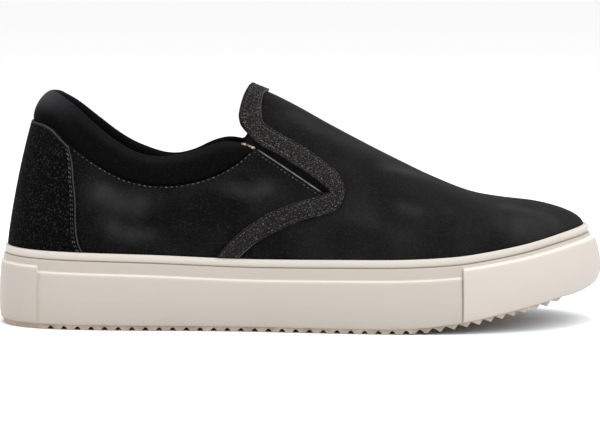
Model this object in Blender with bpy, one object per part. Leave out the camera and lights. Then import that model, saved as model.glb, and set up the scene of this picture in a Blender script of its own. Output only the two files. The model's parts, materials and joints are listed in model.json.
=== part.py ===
"""Slip-on sneaker for the right foot, standing empty on its sole.

The toe points along +X, the outer side of the foot is at -Y and the floor is z = 0.
All sizes are in metres.  A table's lengths are shares of the named sizes that they follow.

The upper is a fan of profiles.  Each profile starts at the feather line, where the
upper leaves the sole, and rises as a superellipse to a ridge above the foot.  A place
on it is named by its side, by its way from heel to toe (0 to 1) and by its rise from
the feather line to the ridge (0 to 1).
"""
import math

import bmesh
import bpy
import numpy as np

# Driving sizes of the last and the sole
LENGTH = 0.3005
BALL_WIDTH = 0.1046
HEEL_WIDTH = 0.0770
INSTEP_HEIGHT = 0.1195
HEEL_HEIGHT = 0.1170
RIM_HEIGHT = 0.0360
TOE_SPRING_SLOPE = 0.21
HEEL_BEVEL = 0.0018

# Thicknesses and clearances
CLEARANCE = 0.0003
UPPER_WALL = 0.0022
OVERLAY_THICKNESS = 0.0012
ELASTIC_THICKNESS = 0.0012
ELASTIC_MARGIN = 0.0050
ELASTIC_GAP = 0.0005
INSOLE_THICKNESS = 0.0050
HEEL_FLOOR = 0.0165
FOREFOOT_FLOOR = 0.0132
OUTSOLE_THICKNESS = 0.0029
OUTSOLE_INSET = 0.0013
TREAD_DEPTH = 0.0018
TREAD_PITCH = 0.0067
TREAD_NOTCH = 0.0031
HEEL_BEVEL_LENGTH = 0.0100
COLLAR_THICKNESS = 0.0074
INNER_CREST_DROP = 0.0031

# Side wall of the cup, in steps below its rim
FEATHER_INSET = 0.0047
COUNTER_TUCK = 0.0014
BEAD_WIDTH = 0.0014
TOE_BEAD = 0.0017
BEAD_HEIGHT = 0.0038
GROOVE_HEIGHT = 0.0008
GROOVE_DEPTH = 0.0007
PANEL_PROUD = 0.0004
TOE_BULGE = 0.0012
SIDE_PANEL_DROP = 0.0107
HEEL_PANEL_DROP = 0.0082
TOE_BUMPER_DROP = 0.0067
PANEL_CHAMFER = 0.0007
CORNER_HEIGHT = 0.0012

# The lip that the cup lowers round the edge of the tread.  Round the toe the tread is
# tucked further in, and the lip comes down to its underside a little way off.
LIP_GAP = 0.0006
TOE_LIP_GAP = 0.0010
LIP_DEPTH = 0.0004
TOE_TUCK = 0.0135
TOE_LIP_RISE = 0.0002
TOE_CORNER_RISE = 0.0004
TOE_CORNER_REACH = 0.0040
TOE_CORNER_INSET = 0.0022
TOE_CORNER_GROWTH = 0.3

# Where the panels of the side wall meet, where the counter's tuck ends and where the
# rounding of the toe starts, as shares of the length
HEEL_PANEL_END = 0.068
TOE_BUMPER_START = 0.765
TUCK_END = (0.10, 0.18)
TOE_START = 0.90

# Plain ends of the tread, as shares of the length
PLAIN_HEEL = 0.088
PLAIN_TOE = 0.020

# Where the toe spring starts and how long its bend is, as shares of the length
SPRING_START = 0.632
SPRING_BEND = 0.166

# Ends of the stretch in which profiles stand square to the length, and the reach of
# the profiles' feet beyond it, as shares of the length
SQUARE_START = 0.30
SQUARE_END = 0.765
FOOT_START = 0.014
FOOT_END = 0.972

# Grid counts, the close pairs of stations at the ends of the side panel, and where the
# closed dome is left open above the foot opening and gathered at the toe
STATIONS = 42
UPPER_ROWS = 11
END_LINES = 10
TIP_LINE = 0.3
PANEL_EDGE_WAY = 0.0012
DOME_OPEN_RISE = 0.80
DOME_OPEN_END = 0.3815
POLE_END = 0.94

LATERAL = -1
MEDIAL = 1

# Sole outline seen from above: x, lateral y and medial y as shares of the half width
HEEL_BACK = (0.0, 0.03)
TOE_TIP = (1.0, 0.115)
OUTLINE = (
    (0.034, -0.584, 0.649),
    (0.084, -0.818, 0.870),
    (0.167, -0.948, 0.995),
    (0.250, -0.990, 1.000),
    (0.333, -0.964, 0.914),
    (0.433, -0.916, 0.796),
    (0.533, -0.922, 0.785),
    (0.632, -0.975, 0.880),
    (0.710, -1.000, 0.967),
    (0.790, -0.956, 0.993),
    (0.860, -0.841, 0.952),
    (0.920, -0.646, 0.810),
    (0.965, -0.360, 0.590),
)

# The heel's width, height or floor rules behind the first share of the length, that of
# the ball, the instep or the forefoot beyond the second
WIDTH_CHANGE = (0.25, 0.60)
HEIGHT_CHANGE = (0.15, 0.40)
FLOOR_CHANGE = (0.30, 0.65)

# Feather line: x, inset from the outline as a share of FEATHER_INSET, height of the
# cup's rim as a share of RIM_HEIGHT
FEATHER = (
    (0.000, 0.87, 1.090),
    (0.070, 0.93, 1.070),
    (0.250, 1.00, 1.036),
    (0.360, 1.00, 1.000),
    (0.435, 1.00, 0.988),
    (0.570, 1.02, 1.000),
    (0.670, 1.04, 1.012),
    (0.755, 1.06, 1.050),
    (0.800, 1.10, 1.095),
    (0.870, 1.22, 1.185),
    (0.940, 1.48, 1.290),
    (1.000, 1.70, 1.360),
)

# Ridge above the foot: x, height as a share of INSTEP_HEIGHT, y as a share of half the
# ball width.  Behind the flap it only guides the quarters and is cut away.
RIDGE = (
    (0.150, 1.255, 0.024),
    (0.250, 1.213, 0.026),
    (0.365, 1.071, 0.045),
    (0.4215, 0.9885, 0.060),
    (0.4560, 0.9520, 0.073),
    (0.498, 0.8980, 0.090),
    (0.550, 0.8242, 0.105),
    (0.622, 0.7277, 0.125),
    (0.676, 0.6590, 0.133),
    (0.720, 0.6060, 0.138),
    (0.783, 0.5425, 0.140),
    (0.831, 0.5170, 0.138),
    (0.875, 0.505, 0.135),
)

# Roundness of the profiles: x, exponent across, exponent upwards
ROUNDNESS = (
    (0.00, 1.95, 1.10),
    (0.06, 2.00, 1.31),
    (0.15, 2.10, 1.60),
    (0.30, 2.20, 1.85),
    (0.42, 2.10, 1.95),
    (0.50, 2.05, 2.00),
    (0.60, 2.10, 2.05),
    (0.70, 2.15, 2.05),
    (0.82, 2.20, 2.00),
    (0.92, 1.80, 1.85),
    (1.00, 1.30, 1.70),
)

# Top edge of the quarters, from the heel to the foot of the flap: x, height
QUARTER_EDGE = (
    (0.040, 0.865),
    (0.070, 0.862),
    (0.092, 0.843),
    (0.113, 0.792),
    (0.128, 0.758),
    (0.157, 0.707),
    (0.188, 0.660),
    (0.219, 0.624),
    (0.264, 0.599),
    (0.315, 0.603),
    (0.362, 0.634),
    (0.397, 0.681),
    (0.424, 0.737),
)

# Crest of the padded collar: x, height
COLLAR_CREST = (
    (0.060, 0.994),
    (0.090, 0.985),
    (0.105, 0.968),
    (0.124, 0.940),
    (0.157, 0.872),
    (0.198, 0.791),
    (0.229, 0.744),
    (0.258, 0.722),
    (0.285, 0.720),
    (0.322, 0.733),
    (0.347, 0.753),
    (0.370, 0.769),
    (0.386, 0.773),
    (0.404, 0.765),
    (0.424, 0.747),
)

# Side view of the flap's edge from its top to the front end of the elastic slot, and
# of the quarter's front edge back from there: x, height.  Heights in this table and in
# the next two are shares of the instep's height above the rim.
FLAP_EDGE = (
    (0.4225, 1.0143),
    (0.4150, 0.9771),
    (0.4070, 0.9213),
    (0.4020, 0.8526),
    (0.4015, 0.8197),
    (0.4050, 0.7739),
    (0.4150, 0.7295),
    (0.4260, 0.6837),
    (0.4360, 0.6494),
    (0.4730, 0.5807),
    (0.5100, 0.4991),
    (0.5390, 0.4247),
    (0.5495, 0.3860),
)
QUARTER_FRONT = (
    (0.5350, 0.3860),
    (0.4820, 0.5100),
    (0.4300, 0.6300),
)

# The strip's two edges in the side view, from the flap's top to the sole: outer x and
# height, inner x and height.  Height 1.2 stands for a place on the ridge itself, and
# height 0 for one at the rim.
STRIP = (
    (0.4480, 1.200, 0.4225, 1.200),
    (0.4400, 0.9356, 0.4130, 0.9571),
    (0.4360, 0.8784, 0.4050, 0.8927),
    (0.4370, 0.8140, 0.4020, 0.8283),
    (0.4420, 0.7682, 0.4090, 0.7596),
    (0.4680, 0.7095, 0.4300, 0.6680),
    (0.5100, 0.6265, 0.4740, 0.5792),
    (0.5430, 0.5435, 0.5110, 0.4962),
    (0.5620, 0.4848, 0.5390, 0.4247),
    (0.5730, 0.4089, 0.5490, 0.3932),
    (0.5720, 0.3631, 0.5490, 0.3817),
    (0.5640, 0.3030, 0.5460, 0.3789),
    (0.5480, 0.2658, 0.5310, 0.3603),
    (0.5150, 0.2358, 0.4980, 0.3302),
    (0.4900, 0.2043, 0.4750, 0.3002),
    (0.4690, 0.1671, 0.4540, 0.2701),
    (0.4490, 0.1320, 0.4270, 0.2114),
    (0.4310, 0.0940, 0.4060, 0.1585),
    (0.4150, 0.0480, 0.3850, 0.0898),
    (0.4010, 0.000, 0.3640, 0.000),
)
ON_RIDGE = 1.1

# Front edge of the heel counter: way up from the rim to the quarter's edge, x
COUNTER_EDGE = (
    (0.00, 0.1450),
    (0.15, 0.1385),
    (0.35, 0.1350),
    (0.60, 0.1340),
    (0.80, 0.1315),
    (0.93, 0.1275),
    (1.00, 0.1220),
)

# Section of the padded collar: rise from the quarter's edge to the crest, depth
# inwards from the upper's surface as a share of COLLAR_THICKNESS
COLLAR_SECTION = (
    (0.00, 0.14),
    (0.14, -0.03),
    (0.38, -0.15),
    (0.64, -0.12),
    (0.84, 0.04),
    (0.96, 0.26),
    (1.00, 0.50),
    (0.95, 0.76),
    (0.80, 0.93),
    (0.50, 1.00),
    (0.20, 0.92),
    (0.00, 0.72),
)
COLLAR_FULL_HEIGHT = 0.012
COLLAR_END_SCALE = 0.25
COLLAR_END_GAP = 0.003
COLLAR_STEPS = 30

# Round the heel the roll leans in towards its crest and bulges out as a whole, both as
# shares of COLLAR_THICKNESS, fading over this stretch of the way from heel to toe
HEEL_LEAN = 0.28
HEEL_BULGE = 0.22
HEEL_FADE = (0.02, 0.16)

# How much lower the crest lies on the inner side of the foot: x, share of
# INNER_CREST_DROP
INNER_DROP = (
    (0.225, 0.00),
    (0.240, 0.06),
    (0.257, 0.32),
    (0.277, 0.74),
    (0.296, 1.00),
    (0.316, 0.94),
    (0.336, 0.74),
    (0.360, 0.45),
    (0.430, 0.39),
)

# Axis of the elastic in the side view, from the flap's foot past the slot's end:
# x, height
ELASTIC_AXIS = (
    (0.4370, 0.6308),
    (0.4930, 0.5249),
    (0.5560, 0.3703),
)

# Side wall of the cup, from its lower corner to the top of a panel: share of the way
# up, lean inwards as a share of the bead's inset
PANEL_WALL = (
    (0.30, 0.00),
    (0.65, 0.12),
    (1.00, 0.42),
)
CORNER_LEAN = 0.15
BAND_LEAN = 0.50
TOE_BAND_LEAN = 0.82

# How much more the bumper leans in at the tip of the toe, as a share of its lean
TOE_LEAN_GROWTH = 0.60

# The bead: lean inwards as a share of its width, height as a share of BEAD_HEIGHT
BEAD = (
    (0.25, 0.00),
    (0.00, 0.35),
    (0.15, 0.75),
    (0.45, 1.00),
)

COLOURS = {
    "outsole_rubber": (0.46, 0.38, 0.29, 1.0),
    "cup_rubber": (0.76, 0.71, 0.65, 1.0),
    "footbed_foam": (0.03, 0.03, 0.032, 1.0),
    "upper_nubuck": (0.035, 0.034, 0.036, 1.0),
    "collar_knit": (0.03, 0.03, 0.032, 1.0),
    "overlay_suede": (0.045, 0.044, 0.046, 1.0),
    "elastic_web": (0.012, 0.012, 0.012, 1.0),
}
ROUGHNESS = {
    "outsole_rubber": 0.75,
    "cup_rubber": 0.55,
    "footbed_foam": 0.90,
    "upper_nubuck": 0.92,
    "collar_knit": 0.95,
    "overlay_suede": 0.95,
    "elastic_web": 0.80,
}


def clear_scene():
    for old in list(bpy.data.objects):
        bpy.data.objects.remove(old, do_unlink=True)


def smooth_step(value, low, high):
    t = min(max((value - low) / (high - low), 0.0), 1.0)
    return t * t * (3.0 - 2.0 * t)


def mix(a, b, share):
    return a * (1.0 - share) + b * share


def hermite(t, start, end, slope_start, slope_end):
    """A cubic from start to end with the given slopes, at t from 0 to 1."""
    rise = t * t * (3.0 - 2.0 * t)
    return (start + (end - start) * rise
            + slope_start * t * (1.0 - t) ** 2 - slope_end * t * t * (1.0 - t))


def from_table(rows, x, column=1):
    """A column's value at x, on a smooth curve through the table's rows."""
    last = len(rows) - 1
    if x <= rows[0][0]:
        return rows[0][column]
    if x >= rows[last][0]:
        return rows[last][column]
    i = 0
    while rows[i + 1][0] < x:
        i += 1

    def slope(k):
        before, after = max(k - 1, 0), min(k + 1, last)
        return ((rows[after][column] - rows[before][column])
                / (rows[after][0] - rows[before][0]))

    span = rows[i + 1][0] - rows[i][0]
    t = (x - rows[i][0]) / span
    return hermite(t, rows[i][column], rows[i + 1][column],
                   slope(i) * span, slope(i + 1) * span)


def open_curve(points, steps):
    """Points on a smooth curve through the given ones, with steps to each span."""
    pts = [np.array(p, dtype=float) for p in points]
    last = len(pts) - 1
    out = []
    for i in range(last):
        tangent_start = (pts[i + 1] - pts[max(i - 1, 0)]) * 0.5
        tangent_end = (pts[min(i + 2, last)] - pts[i]) * 0.5
        for k in range(steps):
            out.append(hermite(k / steps, pts[i], pts[i + 1], tangent_start, tangent_end))
    out.append(pts[last])
    return out


def closed_curve(points, steps):
    """Points on the closed cubic spline through the given ones."""
    pts = np.array(points, dtype=float)
    count = len(pts)
    step = np.linalg.norm(np.roll(pts, -1, axis=0) - pts, axis=1)
    matrix = np.zeros((count, count))
    right = np.zeros((count, 2))
    for i in range(count):
        before, after, following = step[i - 1], step[i], (i + 1) % count
        matrix[i, i - 1] = after
        matrix[i, i] = 2.0 * (before + after)
        matrix[i, following] = before
        right[i] = 3.0 * (after * (pts[i] - pts[i - 1]) / before
                          + before * (pts[following] - pts[i]) / after)
    tangents = np.linalg.solve(matrix, right)
    out = []
    for i in range(count):
        following = (i + 1) % count
        for k in range(steps):
            out.append(hermite(k / steps, pts[i], pts[following],
                               tangents[i] * step[i], tangents[following] * step[i]))
    return np.array(out)


def half_width(x_share):
    return mix(HEEL_WIDTH, BALL_WIDTH, smooth_step(x_share, *WIDTH_CHANGE)) / 2.0


def collar_height(x_share):
    """Height that the collar's lines are shares of: the heel's behind, the instep's in front."""
    return mix(HEEL_HEIGHT, INSTEP_HEIGHT, smooth_step(x_share, *HEIGHT_CHANGE))


def make_outline():
    """The two halves of the sole's outline, from heel to toe, with outward normals."""
    lateral = [(x, y) for x, y, _ in OUTLINE]
    medial = [(x, y) for x, _, y in reversed(OUTLINE)]
    shares = [HEEL_BACK] + lateral + [TOE_TIP] + medial
    points = [(x * LENGTH, y * half_width(x)) for x, y in shares]
    steps = 24
    curve = closed_curve(points, steps)
    ahead = np.roll(curve, -1, axis=0) - np.roll(curve, 1, axis=0)
    ahead /= np.linalg.norm(ahead, axis=1)[:, None]
    normals = np.stack([ahead[:, 1], -ahead[:, 0]], axis=1)
    toe = steps * (len(lateral) + 1)
    halves = {}
    for side in (LATERAL, MEDIAL):
        if side == LATERAL:
            order = np.arange(0, toe + 1)
        else:
            order = np.arange(len(curve), toe - 1, -1) % len(curve)
        pts = curve[order]
        travel = np.concatenate([[0.0], np.cumsum(np.linalg.norm(np.diff(pts, axis=0), axis=1))])
        halves[side] = (travel / travel[-1], pts, normals[order])
    return halves


HALVES = make_outline()


def outline_point(side, way, inset):
    """A point of the outline, moved inwards by the inset."""
    travel, pts, normals = HALVES[side]
    x = np.interp(way, travel, pts[:, 0])
    y = np.interp(way, travel, pts[:, 1])
    nx = np.interp(way, travel, normals[:, 0])
    ny = np.interp(way, travel, normals[:, 1])
    return np.array([x - nx * inset, y - ny * inset])


def way_where(find, target):
    """The way from heel to toe at which find(way), which grows with it, meets the target."""
    low, high = 0.0, 1.0
    for _ in range(40):
        middle = (low + high) / 2.0
        if find(middle) < target:
            low = middle
        else:
            high = middle
    return (low + high) / 2.0


def outline_share(side, way):
    """The x of the outline as a share of the length."""
    return outline_point(side, way, 0.0)[0] / LENGTH


def rim_inset(side, way):
    """How far the inner foot of the bead stands in from the outline."""
    return FEATHER_INSET * from_table(FEATHER, outline_share(side, way), 1)


def feather_inset(side, way):
    """The upper's foot, which the counter pushes in round the heel."""
    tuck = COUNTER_TUCK * (1.0 - smooth_step(outline_share(side, way), *TUCK_END))
    return rim_inset(side, way) + tuck


def toe_share(side, way):
    """Nothing behind the toe, growing to 1 at its tip."""
    return smooth_step(outline_share(side, way), TOE_START, 1.0)


def tread_inset(side, way):
    return OUTSOLE_INSET + TOE_TUCK * toe_share(side, way)


def rim_height(side, way):
    return RIM_HEIGHT * from_table(FEATHER, outline_share(side, way), 2)


def feather_point(side, way):
    return outline_point(side, way, feather_inset(side, way))


def toe_spring(x):
    """Rise of the sole's underside above the floor at x."""
    past = x - SPRING_START * LENGTH
    bend = SPRING_BEND * LENGTH
    if past <= 0.0:
        return 0.0
    if past < bend:
        return TOE_SPRING_SLOPE * past * past / (2.0 * bend)
    return TOE_SPRING_SLOPE * (past - bend / 2.0)


def cavity_floor(x):
    """Height of the cup's inner floor, thicker under the heel."""
    return mix(HEEL_FLOOR, FOREFOOT_FLOOR, smooth_step(x / LENGTH, *FLOOR_CHANGE)) + toe_spring(x)


def ridge_x(way):
    """Where a profile meets the ridge: square to the length, but drawn in at both ends."""
    x = (feather_point(LATERAL, way)[0] + feather_point(MEDIAL, way)[0]) / 2.0
    start, end = SQUARE_START * LENGTH, SQUARE_END * LENGTH
    if x < start:
        reach = start - FOOT_START * LENGTH
        x = start - reach / 2.0 + (x - FOOT_START * LENGTH) ** 2 / (2.0 * reach)
    elif x > end:
        reach = FOOT_END * LENGTH - end
        x = end + reach / 2.0 - (FOOT_END * LENGTH - x) ** 2 / (2.0 * reach)
    return x


def profile(side, way):
    """Foot and ridge of one profile with its two exponents."""
    foot = feather_point(side, way)
    top_x = ridge_x(way)
    top = np.array([top_x, from_table(RIDGE, top_x / LENGTH, 2) * BALL_WIDTH / 2.0])
    low = rim_height(side, way)
    high = from_table(RIDGE, top_x / LENGTH, 1) * INSTEP_HEIGHT
    foot_share = (feather_point(LATERAL, way)[0] + feather_point(MEDIAL, way)[0]) / (2.0 * LENGTH)
    across = from_table(ROUNDNESS, foot_share, 1)
    upwards = from_table(ROUNDNESS, foot_share, 2)
    return foot, top, low, high, across, upwards


def upper_point(side, way, rise):
    """A point of the upper's outer surface."""
    foot, top, low, high, across, upwards = profile(side, way)
    angle = rise * math.pi / 2.0
    inwards = 1.0 - max(math.cos(angle), 0.0) ** (2.0 / across)
    height = math.sin(angle) ** (2.0 / upwards)
    plan = foot + (top - foot) * inwards
    return np.array([plan[0], plan[1], low + (high - low) * height])


def rise_at_height(side, way, z):
    """The rise at which a profile reaches a height."""
    _, _, low, high, _, upwards = profile(side, way)
    share = min(max((z - low) / (high - low), 0.0), 1.0)
    return math.asin(share ** (upwards / 2.0)) * 2.0 / math.pi


def place_on_side(side, x, z):
    """Way and rise of the surface point that has this place in the side view."""
    way = way_where(lambda w: upper_point(side, w, rise_at_height(side, w, z))[0], x)
    return way, rise_at_height(side, way, z)


def outward(side, way, rise):
    """Outward normal of the upper's surface."""
    step = 0.004
    along = (upper_point(side, min(way + step, 1.0), rise)
             - upper_point(side, max(way - step, 0.0), rise))
    up = (upper_point(side, way, min(rise + step, 1.0))
          - upper_point(side, way, max(rise - step, 0.0)))
    normal = np.cross(along, up)
    if side == MEDIAL:
        normal = -normal
    return normal / np.linalg.norm(normal)


def lifted_point(side, way, rise, lift):
    """A point of the upper's surface moved out by the lift, or in where it is negative."""
    return upper_point(side, way, rise) + outward(side, way, rise) * lift


def rise_on_line(side, way, table):
    """The rise at which a profile crosses a line that is drawn in the side view."""
    z = table[0][1] * HEEL_HEIGHT
    for _ in range(12):
        x_share = upper_point(side, way, rise_at_height(side, way, z))[0] / LENGTH
        z = from_table(table, x_share) * collar_height(x_share)
    return rise_at_height(side, way, z)


def make_material(name):
    material = bpy.data.materials.new(name)
    material.use_nodes = True
    shader = material.node_tree.nodes["Principled BSDF"]
    shader.inputs["Base Color"].default_value = COLOURS[name]
    shader.inputs["Roughness"].default_value = ROUGHNESS[name]
    shader.inputs["Metallic"].default_value = 0.0
    return material


def add_object(name, vertices, faces, material, sharp_angle=35.0):
    """A closed mesh object, with its origin under the middle of the shoe."""
    centre = np.array([LENGTH / 2.0, 0.0, 0.0])
    mesh = bpy.data.meshes.new(name)
    mesh.from_pydata([tuple(v - centre) for v in vertices], [], faces)
    work = bmesh.new()
    work.from_mesh(mesh)
    bmesh.ops.recalc_face_normals(work, faces=work.faces[:])
    work.to_mesh(mesh)
    work.free()
    mesh.shade_smooth()
    mesh.set_sharp_from_angle(angle=math.radians(sharp_angle))
    mesh.materials.append(material)
    new = bpy.data.objects.new(name, mesh)
    bpy.context.scene.collection.objects.link(new)
    return new


def without_repeats(face):
    """A face with the corners that came twice taken out, or nothing if it has no area."""
    kept = [v for i, v in enumerate(face) if v != face[i - 1]]
    return tuple(kept) if len(set(kept)) >= 3 else None


def ring_ways(stations):
    """Side and way of each place round the shoe: heel, lateral side, toe, medial side."""
    out = [(LATERAL, way) for way in stations]
    out += [(MEDIAL, way) for way in reversed(stations[1:-1])]
    return out


def even_stations():
    return [i / STATIONS for i in range(STATIONS + 1)]


def add_ring_solid(name, rings, material):
    """A solid between rings round the shoe, whose first and last ring are closed across."""
    count = len(rings[0])
    toe = count // 2
    vertices = [v for ring in rings for v in ring]
    faces = []
    for r in range(len(rings) - 1):
        for i in range(count):
            j = (i + 1) % count
            faces.append((r * count + i, r * count + j,
                          (r + 1) * count + j, (r + 1) * count + i))
    for r in (0, len(rings) - 1):
        base = r * count
        for i in range(toe):
            face = (base + i, base + i + 1, base + (count - i - 1) % count,
                    base + (count - i) % count)
            kept = without_repeats(face)
            if kept:
                faces.append(kept)
    return add_object(name, vertices, faces, material)


def add_sheet_solid(name, outer, inner, material):
    """A solid between two grids of the same size, a little apart."""
    rows, columns = len(outer), len(outer[0])
    vertices = [v for row in outer for v in row] + [v for row in inner for v in row]
    half = rows * columns
    faces = []
    for r in range(rows - 1):
        for c in range(columns - 1):
            quad = (r * columns + c, r * columns + c + 1,
                    (r + 1) * columns + c + 1, (r + 1) * columns + c)
            faces.append(quad)
            faces.append(tuple(half + v for v in reversed(quad)))
    edge = [c for c in range(columns - 1)]
    edge += [r * columns + columns - 1 for r in range(rows - 1)]
    edge += [(rows - 1) * columns + c for c in range(columns - 1, 0, -1)]
    edge += [r * columns for r in range(rows - 1, 0, -1)]
    for i, v in enumerate(edge):
        w = edge[(i + 1) % len(edge)]
        faces.append((v, w, half + w, half + v))
    return add_object(name, vertices, faces, material)


def make_outsole(material):
    """The tread: plain at both ends, with V notches across between them."""
    heel_x = outline_point(LATERAL, 0.0, tread_inset(LATERAL, 0.0))[0]
    toe_x = outline_point(LATERAL, 1.0, tread_inset(LATERAL, 1.0))[0]
    plain = PLAIN_HEEL * LENGTH
    notch_count = int((toe_x - heel_x - plain - PLAIN_TOE * LENGTH) / TREAD_PITCH)
    lines = []
    for k in range(1, END_LINES + 1):
        lines.append((heel_x + (plain - TREAD_NOTCH) * (k / END_LINES) ** 2, 0.0))
    for k in range(notch_count):
        x = heel_x + plain + k * TREAD_PITCH
        lines.append((x - TREAD_NOTCH / 2.0, 0.0))
        lines.append((x, TREAD_DEPTH))
        lines.append((x + TREAD_NOTCH / 2.0, 0.0))
    last_x = lines[-1][0]
    for k in range(END_LINES - 1, -1, -1):
        share = (k + TIP_LINE) / (END_LINES + TIP_LINE)
        lines.append((toe_x - (toe_x - last_x) * share ** 2, 0.0))
    vertices, faces = [], []
    for x, depth in lines:
        bevel = HEEL_BEVEL * max(1.0 - (x - heel_x) / HEEL_BEVEL_LENGTH, 0.0) ** 2
        low = toe_spring(x) + depth + bevel
        high = toe_spring(x) + OUTSOLE_THICKNESS
        for side in (LATERAL, MEDIAL):
            way = way_where(lambda w: outline_point(side, w, tread_inset(side, w))[0], x)
            plan = outline_point(side, way, tread_inset(side, way))
            vertices.append(np.array([x, plan[1], low]))
            vertices.append(np.array([x, plan[1], high]))
    for i in range(len(lines) - 1):
        a, b = 4 * i, 4 * i + 4
        faces += [(a, b, b + 2, a + 2), (a + 1, a + 3, b + 3, b + 1),
                  (a, a + 1, b + 1, b), (a + 2, b + 2, b + 3, a + 3)]
    end = 4 * (len(lines) - 1)
    faces += [(0, 2, 3, 1), (end, end + 1, end + 3, end + 2)]
    return add_object("outsole", vertices, faces, material, sharp_angle=25.0)


def cup_stations():
    """The even stations and a close pair at each end of the side panel."""
    stations = even_stations()
    for share in (HEEL_PANEL_END, TOE_BUMPER_START):
        way = way_where(lambda w: outline_point(LATERAL, w, 0.0)[0], share * LENGTH)
        stations = [w for w in stations if abs(w - way) > 3.0 * PANEL_EDGE_WAY]
        stations += [way - PANEL_EDGE_WAY, way + PANEL_EDGE_WAY]
    return sorted(stations)


def cup_section(side, way):
    """Inset and height of each corner of the cup's section, from under it to its floor."""
    x_share = outline_share(LATERAL, way)
    rim = rim_height(side, way)
    feather = feather_inset(side, way)
    toe = toe_share(side, way)
    width = BEAD_WIDTH + TOE_BEAD * toe
    bead = rim_inset(side, way) - width
    drop, proud = SIDE_PANEL_DROP, 0.0
    if x_share < HEEL_PANEL_END:
        drop, proud = HEEL_PANEL_DROP, PANEL_PROUD
    if x_share > TOE_BUMPER_START:
        drop, proud = TOE_BUMPER_DROP, PANEL_PROUD + TOE_BULGE * toe
    panel_top = rim - drop
    under = tread_inset(side, way) - CLEARANCE - TOE_LIP_GAP * toe
    seat = toe_spring(outline_point(side, way, under)[0]) + OUTSOLE_THICKNESS + CLEARANCE
    lip = under - LIP_GAP
    lip_low = (toe_spring(outline_point(side, way, lip)[0])
               + mix(OUTSOLE_THICKNESS - LIP_DEPTH, TOE_LIP_RISE, toe))
    toe_corner = toe_spring(outline_point(side, way, TOE_CORNER_REACH)[0]) + TOE_CORNER_RISE
    corner = mix(lip_low, toe_corner, toe)
    groove_top = rim - BEAD_HEIGHT
    groove_foot = groove_top - GROOVE_HEIGHT
    section = [(under, seat), (lip, lip_low),
               (CORNER_LEAN * bead - proud + TOE_CORNER_INSET * toe,
                corner + CORNER_HEIGHT * (1.0 + TOE_CORNER_GROWTH * toe))]
    reach = bead * (1.0 + TOE_LEAN_GROWTH * toe)
    for up, lean in PANEL_WALL:
        section.append((lean * reach - proud, corner + up * (panel_top - corner)))
    panel_lean = PANEL_WALL[-1][1]
    section.append((panel_lean * reach + PANEL_CHAMFER, panel_top + PANEL_CHAMFER))
    section.append((mix(BAND_LEAN, TOE_BAND_LEAN, toe) * bead + PANEL_CHAMFER, groove_foot))
    section.append((bead + GROOVE_DEPTH, (groove_foot + groove_top) / 2.0))
    for lean, up in BEAD:
        section.append((bead + lean * width, groove_top + up * BEAD_HEIGHT))
    section.append((feather - CLEARANCE, rim))
    section.append((feather - CLEARANCE, cavity_floor(feather_point(side, way)[0])))
    return section


def make_cupsole(material):
    places = ring_ways(cup_stations())
    sections = [cup_section(side, way) for side, way in places]
    rings = []
    for k in range(len(sections[0])):
        ring = []
        for (side, way), section in zip(places, sections):
            inset, z = section[k]
            plan = outline_point(side, way, inset)
            ring.append(np.array([plan[0], plan[1], z]))
        rings.append(ring)
    return add_ring_solid("cupsole", rings, material)


def make_insole(material):
    rings = []
    for lift in (CLEARANCE, CLEARANCE + INSOLE_THICKNESS):
        ring = []
        for side, way in ring_ways(even_stations()):
            inset = feather_inset(side, way) + UPPER_WALL + CLEARANCE
            plan = outline_point(side, way, inset)
            ring.append(np.array([plan[0], plan[1], cavity_floor(plan[0]) + lift]))
        rings.append(ring)
    return add_ring_solid("insole", rings, material)


def side_view_point(row):
    """A place in the side view whose height is given above the rim."""
    return (row[0] * LENGTH, RIM_HEIGHT + row[1] * (INSTEP_HEIGHT - RIM_HEIGHT))


def opening_outline():
    """Side view of all that is cut from the closed dome: foot opening and elastic slots."""
    seam = []
    count = 48
    first, last = QUARTER_EDGE[0][0], QUARTER_EDGE[-1][0]
    for k in range(count + 1):
        share = first + (last - first) * k / count
        seam.append((share * LENGTH, from_table(QUARTER_EDGE, share) * collar_height(share)))
    front = [side_view_point(row) for row in reversed(QUARTER_FRONT)]
    flap = [tuple(p) for p in open_curve([side_view_point(row) for row in FLAP_EDGE], 3)]
    high = 2.0 * INSTEP_HEIGHT
    behind = -0.1 * LENGTH
    return ([(behind, seam[0][1])] + seam + front + list(reversed(flap))
            + [(flap[0][0], high), (behind, high)])


def make_opening_cutter():
    outline = opening_outline()
    reach = BALL_WIDTH
    count = len(outline)
    vertices = [np.array([x, y, z]) for y in (-reach, reach) for x, z in outline]
    faces = [tuple(range(count)), tuple(range(2 * count - 1, count - 1, -1))]
    for i in range(count):
        j = (i + 1) % count
        faces.append((i, j, count + j, count + i))
    cutter = bpy.data.objects.new("opening_cutter", bpy.data.meshes.new("opening_cutter"))
    centre = np.array([LENGTH / 2.0, 0.0, 0.0])
    cutter.data.from_pydata([tuple(v - centre) for v in vertices], [], faces)
    work = bmesh.new()
    work.from_mesh(cutter.data)
    bmesh.ops.recalc_face_normals(work, faces=work.faces[:])
    work.to_mesh(cutter.data)
    work.free()
    cutter.hide_render = True
    cutter.display_type = "WIRE"
    bpy.context.scene.collection.objects.link(cutter)
    return cutter


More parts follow.
